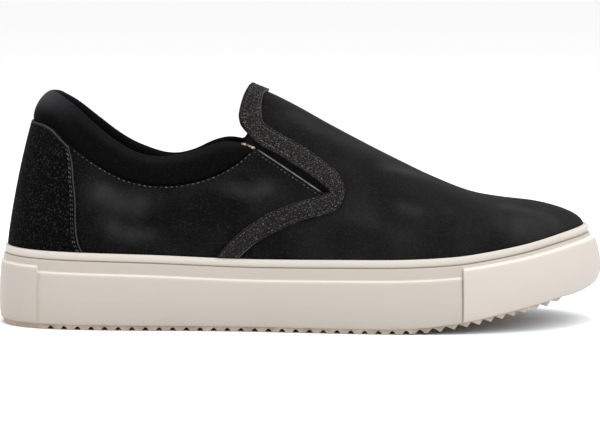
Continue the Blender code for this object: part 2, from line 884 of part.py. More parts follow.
def make_upper(material):
    """The shell: a closed dome of profiles, given its wall, then cut open."""
    stations = even_stations()
    places = ring_ways(stations)
    count = len(places)
    toe = count // 2
    rises = [r / UPPER_ROWS for r in range(UPPER_ROWS)]
    vertices = []
    for side, way in places:
        foot = feather_point(side, way)
        vertices.append(np.array([foot[0], foot[1], cavity_floor(foot[0]) + CLEARANCE]))
    for rise in rises:
        vertices += [upper_point(side, way, rise) for side, way in places]
    ridge_start = len(vertices)
    pole = max(i for i, way in enumerate(stations)
               if feather_point(LATERAL, way)[0] < POLE_END * LENGTH)
    vertices += [upper_point(LATERAL, stations[min(i, pole)], 1.0) for i in range(pole + 1)]

    def ridge_vertex(i):
        return ridge_start + min(min(i, count - i), pole)

    faces = []
    open_end = max(i for i, way in enumerate(stations)
                   if ridge_x(way) < DOME_OPEN_END * LENGTH)
    for r in range(len(rises) + 1):
        for i in range(count):
            j = (i + 1) % count
            nearest = max(min(i, count - i), min(j, count - j))
            if r > DOME_OPEN_RISE * UPPER_ROWS and nearest <= open_end:
                continue
            if r < len(rises):
                face = (r * count + i, r * count + j, (r + 1) * count + j, (r + 1) * count + i)
            else:
                face = (r * count + i, r * count + j, ridge_vertex(j), ridge_vertex(i))
            kept = without_repeats(face)
            if kept:
                faces.append(kept)
    used = sorted({v for face in faces for v in face})
    renumber = {old: new for new, old in enumerate(used)}
    shell = add_object("upper", [vertices[v] for v in used],
                       [tuple(renumber[v] for v in face) for face in faces], material)
    wall = shell.modifiers.new("wall", "SOLIDIFY")
    wall.thickness = UPPER_WALL
    wall.offset = -1.0
    wall.use_even_offset = True
    cut = shell.modifiers.new("openings", "BOOLEAN")
    cut.operation = "DIFFERENCE"
    cut.solver = "EXACT"
    cut.object = make_opening_cutter()
    return shell


def collar_ring(side, way):
    """The padded collar's section at one station."""
    foot_rise = rise_on_line(side, way, QUARTER_EDGE)
    top_rise = rise_on_line(side, way, COLLAR_CREST)
    low = upper_point(side, way, foot_rise)[2] + CLEARANCE
    crest = upper_point(side, way, top_rise)
    high = crest[2]
    if side == MEDIAL:
        high -= INNER_CREST_DROP * from_table(INNER_DROP, crest[0] / LENGTH)
    scale = min(max((high - low) / COLLAR_FULL_HEIGHT, COLLAR_END_SCALE), 1.0)
    behind = 1.0 - smooth_step(way, *HEEL_FADE)
    ring = []
    for share, depth in COLLAR_SECTION:
        z = low + share * (high - low)
        rise = rise_at_height(side, way, z)
        point = upper_point(side, way, rise)
        normal = outward(side, way, rise)
        inwards = -np.array([normal[0], normal[1], 0.0])
        inwards /= np.linalg.norm(inwards)
        lean = (HEEL_LEAN * share - HEEL_BULGE) * behind
        point = point + inwards * (depth + lean) * COLLAR_THICKNESS * scale
        point[2] = z
        ring.append(point)
    return ring


def make_collar(material):
    """The padded roll, from the flap's foot round the heel and back to it."""
    front = {}
    for side in (LATERAL, MEDIAL):
        x = (QUARTER_EDGE[-1][0] - COLLAR_END_GAP) * LENGTH
        front[side] = way_where(
            lambda w: upper_point(side, w, rise_on_line(side, w, QUARTER_EDGE))[0], x)
    places = [(LATERAL, front[LATERAL] * (1.0 - k / COLLAR_STEPS)) for k in range(COLLAR_STEPS)]
    places += [(MEDIAL, front[MEDIAL] * k / COLLAR_STEPS) for k in range(COLLAR_STEPS + 1)]
    rings = [collar_ring(side, way) for side, way in places]
    around = len(COLLAR_SECTION)
    vertices = [v for ring in rings for v in ring]
    faces = []
    for r in range(len(rings) - 1):
        for i in range(around):
            j = (i + 1) % around
            faces.append((r * around + i, r * around + j,
                          (r + 1) * around + j, (r + 1) * around + i))
    faces.append(tuple(range(around)))
    end = (len(rings) - 1) * around
    faces.append(tuple(end + i for i in reversed(range(around))))
    return add_object("collar", vertices, faces, material)


def overlay_grids(places):
    """Outer and inner grid of an overlay, from a grid of sides, ways and rises."""
    outer, inner = [], []
    for row in places:
        outer.append([lifted_point(*place, CLEARANCE + OVERLAY_THICKNESS) for place in row])
        inner.append([lifted_point(*place, CLEARANCE) for place in row])
    return outer, inner


def counter_place(side, way, up):
    """The x and rise of a place between the rim and the quarter's edge."""
    low = rise_at_height(side, way, rim_height(side, way) + CLEARANCE)
    edge = upper_point(side, way, rise_on_line(side, way, QUARTER_EDGE))[2]
    high = rise_at_height(side, way, edge - 2.0 * CLEARANCE)
    rise = low + (high - low) * up
    return upper_point(side, way, rise)[0], rise


def make_heel_counter(material):
    """The counter: rows from the rim to the collar, each as wide as its front edge says."""
    places = []
    rows, columns = 10, 10
    for r in range(rows):
        up = r / (rows - 1)
        row = []
        for c in range(-columns, columns + 1):
            side = LATERAL if c < 0 else MEDIAL
            x = from_table(COUNTER_EDGE, up) * LENGTH
            front = way_where(lambda w: counter_place(side, w, up)[0], x)
            way = front * abs(c) / columns
            row.append((side, way, counter_place(side, way, up)[1]))
        places.append(row)
    return add_sheet_solid("heel_counter", *overlay_grids(places), material)


def strip_place(side, x_share, height_share):
    """Way and rise of a strip edge's place in the side view."""
    x, z = side_view_point((x_share, height_share))
    if height_share > ON_RIDGE:
        return way_where(ridge_x, x), 1.0
    if height_share == 0.0:
        way = way_where(lambda w: feather_point(side, w)[0], x)
        return way, rise_at_height(side, way, rim_height(side, way) + CLEARANCE)
    return place_on_side(side, x, z)


def strip_rows(side, steps, across):
    """Rows of the strip on one side, from the flap's top to the sole."""
    outer = open_curve([strip_place(side, row[0], row[1]) for row in STRIP], steps)
    inner = open_curve([strip_place(side, row[2], row[3]) for row in STRIP], steps)
    rows = []
    for a, b in zip(outer, inner):
        row = []
        for k in range(across + 1):
            way, rise = a + (b - a) * k / across
            row.append((side, way, min(rise, 1.0)))
        rows.append(row)
    return rows


def make_throat_strip(material):
    """The strip: one band over the flap's top, down both sides to the sole."""
    steps, across = 2, 2
    lateral = strip_rows(LATERAL, steps, across)
    medial = strip_rows(MEDIAL, steps, across)
    places = list(reversed(lateral)) + medial[1:]
    return add_sheet_solid("throat_strip", *overlay_grids(places), material)


def make_gore(name, side, material):
    """The elastic behind one slot, under the upper's wall."""
    axis = open_curve([side_view_point(row) for row in ELASTIC_AXIS], 4)
    deep = UPPER_WALL + ELASTIC_GAP
    outer, inner = [], []
    for i, point in enumerate(axis):
        ahead = axis[min(i + 1, len(axis) - 1)] - axis[max(i - 1, 0)]
        ahead /= np.linalg.norm(ahead)
        across = np.array([-ahead[1], ahead[0]])
        outer_row, inner_row = [], []
        for k in (-1.0, -0.33, 0.33, 1.0):
            x, z = point + across * k * ELASTIC_MARGIN
            way, rise = place_on_side(side, x, z)
            outer_row.append(lifted_point(side, way, rise, -deep))
            inner_row.append(lifted_point(side, way, rise, -deep - ELASTIC_THICKNESS))
        outer.append(outer_row)
        inner.append(inner_row)
    return add_sheet_solid(name, outer, inner, material)


def build():
    clear_scene()
    materials = {name: make_material(name) for name in COLOURS}
    make_outsole(materials["outsole_rubber"])
    make_cupsole(materials["cup_rubber"])
    make_insole(materials["footbed_foam"])
    make_upper(materials["upper_nubuck"])
    make_collar(materials["collar_knit"])
    make_heel_counter(materials["overlay_suede"])
    make_throat_strip(materials["overlay_suede"])
    make_gore("gore_lateral", LATERAL, materials["elastic_web"])
    make_gore("gore_medial", MEDIAL, materials["elastic_web"])


build()
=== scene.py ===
# %% [markdown]
# # A slip-on sneaker
#
# The shoe is dressed piece by piece over a imported CAD model.  Every length is in metres,
# the toe points along +X, the outer side of the foot is at -Y and the floor is z = 0.
#
# The first step opens that model.  The finished shoe may not grow out of it.

import json
import math

import bmesh
import bpy
import numpy as np
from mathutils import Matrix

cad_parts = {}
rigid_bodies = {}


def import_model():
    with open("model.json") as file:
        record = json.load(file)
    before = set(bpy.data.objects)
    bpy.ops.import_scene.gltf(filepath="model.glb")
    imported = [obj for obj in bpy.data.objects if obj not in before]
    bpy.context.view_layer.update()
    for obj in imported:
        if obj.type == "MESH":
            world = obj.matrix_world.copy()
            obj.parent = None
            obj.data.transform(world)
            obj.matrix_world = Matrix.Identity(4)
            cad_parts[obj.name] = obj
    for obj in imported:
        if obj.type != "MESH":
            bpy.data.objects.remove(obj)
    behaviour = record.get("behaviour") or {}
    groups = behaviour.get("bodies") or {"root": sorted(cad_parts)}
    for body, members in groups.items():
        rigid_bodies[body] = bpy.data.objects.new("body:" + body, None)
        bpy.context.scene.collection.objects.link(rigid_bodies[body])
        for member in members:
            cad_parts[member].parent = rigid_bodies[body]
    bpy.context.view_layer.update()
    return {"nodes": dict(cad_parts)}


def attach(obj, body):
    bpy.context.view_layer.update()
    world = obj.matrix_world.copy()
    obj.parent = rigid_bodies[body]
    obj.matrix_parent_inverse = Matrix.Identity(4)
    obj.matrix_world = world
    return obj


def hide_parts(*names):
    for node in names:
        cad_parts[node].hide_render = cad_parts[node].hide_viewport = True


for leftover in list(bpy.data.objects):
    bpy.data.objects.remove(leftover, do_unlink=True)
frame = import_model()
print("nodes", sorted(frame["nodes"]))

# %% [markdown]
# ## The last
#
# A shoemaker builds the shoe over a last, and so does this script.  The last could be
# sculpted by eye, or cut from the CAD mesh, but both lose the lines that the panels
# follow.  Here it is a fan of profiles that start at the sole and meet in a ridge above
# the foot, so a place on it has a side, a way from heel to toe and a rise from the sole
# to the ridge.  Each table below gives shares of one of these sizes.

# %% Sizes of the last and the sole
LENGTH = 0.3005
BALL_WIDTH = 0.1046
HEEL_WIDTH = 0.0770
INSTEP_HEIGHT = 0.1195
HEEL_HEIGHT = 0.1170
RIM_HEIGHT = 0.0360
FEATHER_INSET = 0.0047
TOE_SPRING_SLOPE = 0.21
SPRING_START, SPRING_BEND = 0.632, 0.166
SQUARE_START, SQUARE_END = 0.30, 0.765
FOOT_START, FOOT_END = 0.014, 0.972
CLEARANCE = 0.0003
BEAD_WIDTH, TOE_BEAD, COUNTER_TUCK = 0.0014, 0.0017, 0.0014
HEEL_FLOOR, FOREFOOT_FLOOR = 0.0165, 0.0132
# Shares of the length between which the heel's measure gives way to the forefoot's,
# between which the counter's tuck ends, and where the rounding of the toe starts
WIDTH_CHANGE, HEIGHT_CHANGE, FLOOR_CHANGE = (0.25, 0.60), (0.15, 0.40), (0.30, 0.65)
TUCK_END, TOE_START = (0.10, 0.18), 0.90
LATERAL, MEDIAL = -1, 1

# %% Tables of the last
HEEL_BACK, TOE_TIP = (0.0, 0.03), (1.0, 0.115)
OUTLINE = (
    (0.034, -0.584, 0.649), (0.084, -0.818, 0.870), (0.167, -0.948, 0.995),
    (0.250, -0.990, 1.000), (0.333, -0.964, 0.914), (0.433, -0.916, 0.796),
    (0.533, -0.922, 0.785), (0.632, -0.975, 0.880), (0.710, -1.000, 0.967),
    (0.790, -0.956, 0.993), (0.860, -0.841, 0.952), (0.920, -0.646, 0.810),
    (0.965, -0.360, 0.590),
)
# x, inset of the feather line, height of the cup's rim
FEATHER = (
    (0.000, 0.87, 1.090), (0.070, 0.93, 1.070), (0.250, 1.00, 1.036), (0.360, 1.00, 1.000),
    (0.435, 1.00, 0.988), (0.570, 1.02, 1.000), (0.670, 1.04, 1.012), (0.755, 1.06, 1.050),
    (0.800, 1.10, 1.095), (0.870, 1.22, 1.185), (0.940, 1.48, 1.290), (1.000, 1.70, 1.360),
)
# x, height of the ridge, y of the ridge
RIDGE = (
    (0.150, 1.255, 0.024), (0.250, 1.213, 0.026), (0.365, 1.071, 0.045),
    (0.4215, 0.9885, 0.060), (0.456, 0.9520, 0.073), (0.498, 0.8980, 0.090),
    (0.550, 0.8242, 0.105), (0.622, 0.7277, 0.125), (0.676, 0.6590, 0.133),
    (0.720, 0.6060, 0.138), (0.783, 0.5425, 0.140), (0.831, 0.5170, 0.138),
    (0.875, 0.505, 0.135),
)
# x, exponent across, exponent upwards
ROUNDNESS = (
    (0.00, 1.95, 1.10), (0.06, 2.00, 1.31), (0.15, 2.10, 1.60), (0.30, 2.20, 1.85),
    (0.42, 2.10, 1.95), (0.50, 2.05, 2.00), (0.60, 2.10, 2.05), (0.70, 2.15, 2.05),
    (0.82, 2.20, 2.00), (0.92, 1.80, 1.85), (1.00, 1.30, 1.70),
)


# %% Smooth curves through the tables
def smooth(value, low, high):
    t = np.clip((value - low) / (high - low), 0.0, 1.0)
    return t * t * (3.0 - 2.0 * t)


def mix(a, b, share):
    return a * (1.0 - share) + b * share


def hermite(t, start, end, slope_start, slope_end):
    rise = t * t * (3.0 - 2.0 * t)
    return (start + (end - start) * rise
            + slope_start * t * (1.0 - t) ** 2 - slope_end * t * t * (1.0 - t))


def along(rows, x, column=1):
    """A column's value at each x, on a smooth curve through the table's rows."""
    table = np.array(rows, dtype=float)
    xs, ys = table[:, 0], table[:, column]
    k = np.arange(len(xs))
    before, after = np.maximum(k - 1, 0), np.minimum(k + 1, len(xs) - 1)
    slope = (ys[after] - ys[before]) / (xs[after] - xs[before])
    x = np.clip(x, xs[0], xs[-1])
    i = np.clip(np.searchsorted(xs, x) - 1, 0, len(xs) - 2)
    span = xs[i + 1] - xs[i]
    return hermite((x - xs[i]) / span, ys[i], ys[i + 1], slope[i] * span, slope[i + 1] * span)


def half_width(x_share):
    return mix(HEEL_WIDTH, BALL_WIDTH, smooth(x_share, *WIDTH_CHANGE)) / 2.0


def collar_height(x_share):
    """Height that the collar's lines are shares of."""
    return mix(HEEL_HEIGHT, INSTEP_HEIGHT, smooth(x_share, *HEIGHT_CHANGE))


# %% The sole's outline
def closed_spline(points, steps):
    pts = np.array(points, dtype=float)
    count = len(pts)
    step = np.linalg.norm(np.roll(pts, -1, axis=0) - pts, axis=1)
    matrix, right = np.zeros((count, count)), np.zeros((count, 2))
    for i in range(count):
        before, after, following = step[i - 1], step[i], (i + 1) % count
        matrix[i, i - 1] = after
        matrix[i, i] = 2.0 * (before + after)
        matrix[i, following] = before
        right[i] = 3.0 * (after * (pts[i] - pts[i - 1]) / before
                          + before * (pts[following] - pts[i]) / after)
    tangents = np.linalg.solve(matrix, right)
    t = (np.arange(steps) / steps)[:, None]
    spans = [hermite(t, pts[i], pts[(i + 1) % count], tangents[i] * step[i],
                     tangents[(i + 1) % count] * step[i]) for i in range(count)]
    return np.concatenate(spans)


STEPS = 24
shares = ([HEEL_BACK] + [(x, y) for x, y, _ in OUTLINE] + [TOE_TIP]
          + [(x, y) for x, _, y in reversed(OUTLINE)])
curve = closed_spline([(x * LENGTH, y * half_width(x)) for x, y in shares], STEPS)
ahead = np.roll(curve, -1, axis=0) - np.roll(curve, 1, axis=0)
ahead /= np.linalg.norm(ahead, axis=1)[:, None]
outwards = np.stack([ahead[:, 1], -ahead[:, 0]], axis=1)
toe_index = STEPS * (len(OUTLINE) + 1)
HALVES = {}
for half, order in ((LATERAL, np.arange(0, toe_index + 1)),
                    (MEDIAL, np.arange(len(curve), toe_index - 1, -1) % len(curve))):
    steps_on = np.linalg.norm(np.diff(curve[order], axis=0), axis=1)
    travel = np.concatenate([[0.0], np.cumsum(steps_on)])
    HALVES[half] = (travel / travel[-1], curve[order], outwards[order])
print("outline length", round(float(travel[-1]) * 1000, 1), "mm on the inner side")


def edge_point(side, way, inset):
    """x and y of the outline at each way, moved inwards by the inset."""
    travel, pts, normals = HALVES[side]
    x, y = np.interp(way, travel, pts[:, 0]), np.interp(way, travel, pts[:, 1])
    nx, ny = np.interp(way, travel, normals[:, 0]), np.interp(way, travel, normals[:, 1])
    return np.stack([x - nx * inset, y - ny * inset], axis=-1)


def outline_share(side, way):
    """The x of the outline as a share of the length."""
    return edge_point(side, way, 0.0)[..., 0] / LENGTH


def toe_share(side, way):
    """Nothing behind the toe, growing to 1 at its tip."""
    return smooth(outline_share(side, way), TOE_START, 1.0)


def rim_inset(side, way):
    """How far the inner foot of the bead stands in from the outline."""
    return FEATHER_INSET * along(FEATHER, outline_share(side, way), 1)


def feather_inset(side, way):
    """The upper's foot, which the counter pushes in round the heel."""
    tuck = COUNTER_TUCK * (1.0 - smooth(outline_share(side, way), *TUCK_END))
    return rim_inset(side, way) + tuck


def rim_height(side, way):
    return RIM_HEIGHT * along(FEATHER, outline_share(side, way), 2)


def feather_point(side, way):
    return edge_point(side, way, feather_inset(side, way))


def toe_spring(x):
    """How far the sole has left the floor: nothing, then a bend, then a straight slope."""
    past = x - SPRING_START * LENGTH
    bend = SPRING_BEND * LENGTH
    bending = TOE_SPRING_SLOPE * past * past / (2.0 * bend)
    straight = TOE_SPRING_SLOPE * (past - bend / 2.0)
    return np.where(past <= 0.0, 0.0, np.where(past < bend, bending, straight))


def cavity_floor(x):
    """Height of the cup's inner floor, thicker under the heel."""
    return mix(HEEL_FLOOR, FOREFOOT_FLOOR, smooth(x / LENGTH, *FLOOR_CHANGE)) + toe_spring(x)


# %% The fan of profiles
WAYS = np.linspace(0.0, 1.0, 1601)
feet = {side: feather_point(side, WAYS) for side in (LATERAL, MEDIAL)}
foot_middle = (feet[LATERAL][:, 0] + feet[MEDIAL][:, 0]) / 2.0
start, end = SQUARE_START * LENGTH, SQUARE_END * LENGTH
back, front = start - FOOT_START * LENGTH, FOOT_END * LENGTH - end
RIDGE_X = np.where(
    foot_middle < start,
    start - back / 2.0 + (foot_middle - FOOT_START * LENGTH) ** 2 / (2.0 * back),
    np.where(foot_middle > end,
             end + front / 2.0 - (FOOT_END * LENGTH - foot_middle) ** 2 / (2.0 * front),
             foot_middle))
RIDGE_Y = along(RIDGE, RIDGE_X / LENGTH, 2) * BALL_WIDTH / 2.0
RIDGE_Z = along(RIDGE, RIDGE_X / LENGTH, 1) * INSTEP_HEIGHT
ACROSS = along(ROUNDNESS, foot_middle / LENGTH, 1)
UPWARDS = along(ROUNDNESS, foot_middle / LENGTH, 2)
RIMS = {side: rim_height(side, WAYS) for side in (LATERAL, MEDIAL)}


def at(way, column):
    return np.interp(way, WAYS, column)


def skin(side, way, rise):
    """Points of the last's surface, with the frame's middle of the shoe at x = 0."""
    way, rise = np.broadcast_arrays(np.asarray(way, float), np.asarray(rise, float))
    angle = rise * math.pi / 2.0
    inwards = 1.0 - np.maximum(np.cos(angle), 0.0) ** (2.0 / at(way, ACROSS))
    height = np.maximum(np.sin(angle), 0.0) ** (2.0 / at(way, UPWARDS))
    x = mix(at(way, feet[side][:, 0]), at(way, RIDGE_X), inwards) - LENGTH / 2.0
    y = mix(at(way, feet[side][:, 1]), at(way, RIDGE_Y), inwards)
    z = mix(at(way, RIMS[side]), at(way, RIDGE_Z), height)
    return np.stack([x, y, z], axis=-1)


def rise_at(side, way, z):
    low, high = at(way, RIMS[side]), at(way, RIDGE_Z)
    share = np.clip((z - low) / (high - low), 0.0, 1.0)
    return np.arcsin(share ** (at(way, UPWARDS) / 2.0)) * 2.0 / math.pi


def outward(side, way, rise, step=0.004):
    """Outward normals of the last's surface."""
    ahead = (skin(side, np.minimum(way + step, 1.0), rise)
             - skin(side, np.maximum(way - step, 0.0), rise))
    up = (skin(side, way, np.minimum(rise + step, 1.0))
          - skin(side, way, np.maximum(rise - step, 0.0)))
    normal = np.cross(ahead, up) * -side
    return normal / np.maximum(np.linalg.norm(normal, axis=-1, keepdims=True), 1e-12)


print("ridge from", RIDGE_Z.max().round(4), "to", RIDGE_Z.min().round(4))

# %% [markdown]
# ## Lines drawn in the side view
#
# The panels of this shoe are lines that one sees from the side: the collar's seam, the
# edge of the throat, the band round it and the front of the counter.  They could be
# traced on the surface point by point.  It is surer to draw each once in the side view,
# and let a search find the way and the rise that carry it, on either side of the foot.


# %% From the side view to the surface
def find_way(measure, target):
    """The way at which measure(way), which grows with it, meets each target."""
    target = np.asarray(target, dtype=float)
    low, high = np.zeros_like(target), np.ones_like(target)
    for _ in range(40):
        middle = (low + high) / 2.0
        short = measure(middle) < target
        low, high = np.where(short, middle, low), np.where(short, high, middle)
    return (low + high) / 2.0


def place(side, x, z):
    """Way and rise of the surface points that have these places in the side view."""
    x, z = np.asarray(x, float), np.asarray(z, float)
    way = find_way(lambda w: skin(side, w, rise_at(side, w, z))[..., 0], x)
    return way, rise_at(side, way, z)


def rise_on(side, way, table):
    """The rise at which each profile crosses a line that is drawn in the side view."""
    z = np.full(np.shape(way), table[0][1] * HEEL_HEIGHT)
    for _ in range(14):
        x_share = skin(side, way, rise_at(side, way, z))[..., 0] / LENGTH + 0.5
        z = along(table, x_share) * collar_height(x_share)
    return rise_at(side, way, z)


def side_view(row):
    """x and z of a place in the side view whose height is a share above the rim."""
    return (row[0] - 0.5) * LENGTH, RIM_HEIGHT + row[1] * (INSTEP_HEIGHT - RIM_HEIGHT)


def open_spline(points, steps):
    pts = np.array(points, dtype=float)
    last = len(pts) - 1
    t = (np.arange(steps) / steps)[:, None]
    spans = [hermite(t, pts[i], pts[i + 1], (pts[i + 1] - pts[max(i - 1, 0)]) / 2.0,
                     (pts[min(i + 2, last)] - pts[i]) / 2.0) for i in range(last)]
    return np.concatenate(spans + [pts[last:]])


# %% The lines of the panels
QUARTER_EDGE = (
    (0.040, 0.865), (0.070, 0.862), (0.092, 0.843), (0.113, 0.792), (0.128, 0.758),
    (0.157, 0.707), (0.188, 0.660), (0.219, 0.624), (0.264, 0.599), (0.315, 0.603),
    (0.362, 0.634), (0.397, 0.681), (0.424, 0.737),
)
COLLAR_CREST = (
    (0.060, 0.994), (0.090, 0.985), (0.105, 0.968), (0.124, 0.940), (0.157, 0.872),
    (0.198, 0.791), (0.229, 0.744), (0.258, 0.722), (0.285, 0.720), (0.322, 0.733),
    (0.347, 0.753), (0.370, 0.769), (0.386, 0.773), (0.404, 0.765), (0.424, 0.747),
)
# Flap's edge from its top to the front end of the slot, then the quarter's front edge
FLAP_EDGE = (
    (0.4225, 1.0143), (0.4150, 0.9771), (0.4070, 0.9213), (0.4020, 0.8526),
    (0.4015, 0.8197), (0.4050, 0.7739), (0.4150, 0.7295), (0.4260, 0.6837),
    (0.4360, 0.6494), (0.4730, 0.5807), (0.5100, 0.4991), (0.5390, 0.4247),
    (0.5495, 0.3860),
)
QUARTER_FRONT = ((0.4300, 0.6300), (0.4820, 0.5100), (0.5350, 0.3860))


# %% [markdown]
# ## Helpers for meshes and finishes
#
# Nearly every piece is a grid of points: rows one way and columns the other.  One helper
# lists the faces of such a grid, another makes the object, with its place in its mesh
# and its faces turned outwards.  A third starts a material and gives back short calls
# for adding and joining its nodes, so that each finish below reads as a recipe.

# %% Mesh helpers
def grid_faces(rows, columns, first=0, closed=False):
    """Quads of a grid whose points are numbered row by row."""
    number = first + np.arange(rows * columns).reshape(rows, columns)
    if closed:
        number = np.concatenate([number, number[:, :1]], axis=1)
    a, b, c, d = number[:-1, :-1], number[:-1, 1:], number[1:, 1:], number[1:, :-1]
    return np.stack([a, b, c, d], axis=-1).reshape(-1, 4).tolist()


def make_piece(name, points, faces, materials, attributes=None, sharp=None, weld=None):
    """A mesh object in the frame, with its normals outwards and point attributes."""
    mesh = bpy.data.meshes.new(name)
    mesh.from_pydata(np.asarray(points).reshape(-1, 3).tolist(), [], faces)
    for title, values in (attributes or {}).items():
        layer = mesh.attributes.new(title, "FLOAT", "POINT")
        layer.data.foreach_set("value", np.asarray(values, dtype=np.float32).ravel())
    work = bmesh.new()
    work.from_mesh(mesh)
    if weld:
        bmesh.ops.remove_doubles(work, verts=work.verts[:], dist=weld)
    bmesh.ops.dissolve_degenerate(work, edges=work.edges[:], dist=1e-7)
    bmesh.ops.recalc_face_normals(work, faces=work.faces[:])
    work.to_mesh(mesh)
    work.free()
    mesh.shade_smooth()
    if sharp:
        mesh.set_sharp_from_angle(angle=math.radians(sharp))
    for material in materials:
        mesh.materials.append(material)
    piece = bpy.data.objects.new(name, mesh)
    bpy.context.scene.collection.objects.link(piece)
    return piece


def sheet_between(outer, inner):
    """Points and faces of the closed sheet between two grids of the same size."""
    rows, columns = outer.shape[:2]
    half = rows * columns
    faces = grid_faces(rows, columns)
    faces += [list(reversed(face)) for face in grid_faces(rows, columns, half)]
    number = np.arange(half).reshape(rows, columns)
    border = (number[0, :-1].tolist() + number[:-1, -1].tolist()
              + number[-1, :0:-1].tolist() + number[:0:-1, 0].tolist())
    for k, a in enumerate(border):
        b = border[(k + 1) % len(border)]
        faces.append([a, half + a, half + b, b])
    points = np.concatenate([outer.reshape(-1, 3), inner.reshape(-1, 3)])
    return points, faces


# %% Material helpers
class Finish:
    """A material in the making: add() adds a node, join() links two sockets."""

    def __init__(self, name):
        self.material = bpy.data.materials.new(name)
        self.material.use_nodes = True
        self.tree = self.material.node_tree
        self.shader = self.tree.nodes["Principled BSDF"]

    def add(self, kind, **settings):
        node = self.tree.nodes.new(kind)
        for key, value in settings.items():
            if hasattr(node, key):
                setattr(node, key, value)
            else:
                node.inputs[key].default_value = value
        return node

    def join(self, output, to):
        self.tree.links.new(output, to)

    def where(self):
        return self.add("ShaderNodeTexCoord").outputs["Object"]

    def noise(self, scale, detail=3.0, rough=0.55, vector=None):
        node = self.add("ShaderNodeTexNoise", Scale=scale, Detail=detail, Roughness=rough)
        self.join(vector or self.where(), node.inputs["Vector"])
        return node.outputs["Fac"]

    def height_share(self, low, high):
        """0 below the low height and 1 above the high one."""
        split = self.add("ShaderNodeSeparateXYZ")
        self.join(self.where(), split.inputs["Vector"])
        grade = self.add("ShaderNodeMapRange", interpolation_type="SMOOTHSTEP")
        grade.inputs["From Min"].default_value = low
        grade.inputs["From Max"].default_value = high
        self.join(split.outputs["Z"], grade.inputs["Value"])
        return grade.outputs["Result"]

    def math(self, operation, a, b=0.0, clamp=False):
        node = self.add("ShaderNodeMath", operation=operation, use_clamp=clamp)
        for socket, value in zip(node.inputs, (a, b)):
            if isinstance(value, (int, float)):
                socket.default_value = value
            else:
                self.join(value, socket)
        return node.outputs[0]

    def attribute(self, name):
        return self.add("ShaderNodeAttribute", attribute_name=name).outputs["Fac"]

    def ramp(self, factor, stops, ease="LINEAR"):
        node = self.add("ShaderNodeValToRGB")
        node.color_ramp.interpolation = ease
        while len(node.color_ramp.elements) < len(stops):
            node.color_ramp.elements.new(0.5)
        for element, (position, colour) in zip(node.color_ramp.elements, stops):
            element.position = position
            element.color = (*colour, 1.0)
        self.join(factor, node.inputs["Fac"])
        return node.outputs["Color"]

    def blend(self, factor, a, b):
        node = self.add("ShaderNodeMix", data_type="RGBA", clamp_factor=True)
        sockets = {s.identifier: s for s in node.inputs}
        for key, value in (("Factor_Float", factor), ("A_Color", a), ("B_Color", b)):
            if isinstance(value, (int, float)):
                sockets[key].default_value = value
            elif isinstance(value, tuple):
                sockets[key].default_value = (*value, 1.0)
            else:
                self.join(value, sockets[key])
        return [s for s in node.outputs if s.identifier == "Result_Color"][0]

    def bump(self, height, strength, distance, normal=None):
        node = self.add("ShaderNodeBump", Strength=strength, Distance=distance)
        self.join(height, node.inputs["Height"])
        if normal:
            self.join(normal, node.inputs["Normal"])
        return node.outputs["Normal"]

    def set(self, **values):
        for key, value in values.items():
            socket = self.shader.inputs[key.replace("_", " ")]
            if isinstance(value, (int, float, tuple)):
                socket.default_value = value
            else:
                self.join(value, socket)
        return self.material


# %% [markdown]
# ## The rubber cup
#
# The sole is one moulding that holds the upper like a tray: a rounded bead at its rim, a
# fine groove under it, a recessed band, and below it a long side panel, with a separate
# panel round the heel and a bumper round the toe.  It could be extruded and cut, but
# every edge of it runs round the shoe.  So its section is drawn once for each station,
# with small rounds at its corners, and the stations are joined.  The section's own
# number travels with the points, so the finish can paint highlights on the panel's
# chamfer and the bead's top, and paint shade low on the wall, in the band and the
# groove, and where the bead meets the upper.

# %% Finish of the cup
rubber = Finish("moulded_rubber")
grime = rubber.noise(9.0, 3.0, 0.6)
speck = rubber.noise(420.0, 2.0, 0.6)
cloud = rubber.noise(38.0, 3.0, 0.55)
line = rubber.math("DIVIDE", rubber.attribute("section"), 14.0)
# Colour by place in the section: painted highlights on the chamfer and the bead's top, painted
# shade at the wall's foot, in the recessed band and the groove, and where the bead meets the upper
base = rubber.ramp(line, [
    (0.00, (0.30, 0.26, 0.21)), (0.13, (0.38, 0.34, 0.295)), (0.33, (0.42, 0.38, 0.34)),
    (0.362, (0.62, 0.57, 0.50)), (0.43, (0.60, 0.55, 0.48)), (0.45, (0.40, 0.36, 0.31)),
    (0.535, (0.40, 0.355, 0.31)), (0.565, (0.15, 0.11, 0.08)), (0.605, (0.20, 0.155, 0.12)),
    (0.65, (0.50, 0.46, 0.41)), (0.82, (0.55, 0.51, 0.46)), (0.93, (0.33, 0.29, 0.25))])
# Random grime laid over the colour that holds the painted highlights and shade
dust_over_painted_light = rubber.blend(rubber.math("MULTIPLY", grime, 0.30), base, (0.35, 0.31, 0.265))
shade = rubber.blend(rubber.math("MULTIPLY", cloud, 0.16), dust_over_painted_light, (0.48, 0.44, 0.39))
shade = rubber.blend(rubber.math("MULTIPLY", rubber.attribute("bumper"), 0.15), shade,
                     (0.86, 0.76, 0.69))
# Painted shadow in the slit beside the toe bumper
shade = rubber.blend(rubber.math("MULTIPLY", rubber.attribute("slit_painted_shadow"), 0.62), shade,
                     (0.10, 0.085, 0.07))
RUBBER = rubber.set(
    Base_Color=shade, Roughness=rubber.math("ADD", rubber.math("MULTIPLY", speck, 0.14), 0.46),
    Normal=rubber.bump(speck, 0.10, 0.0002), Subsurface_Weight=0.04,
    Subsurface_Radius=(0.004, 0.003, 0.002), Specular_IOR_Level=0.35)


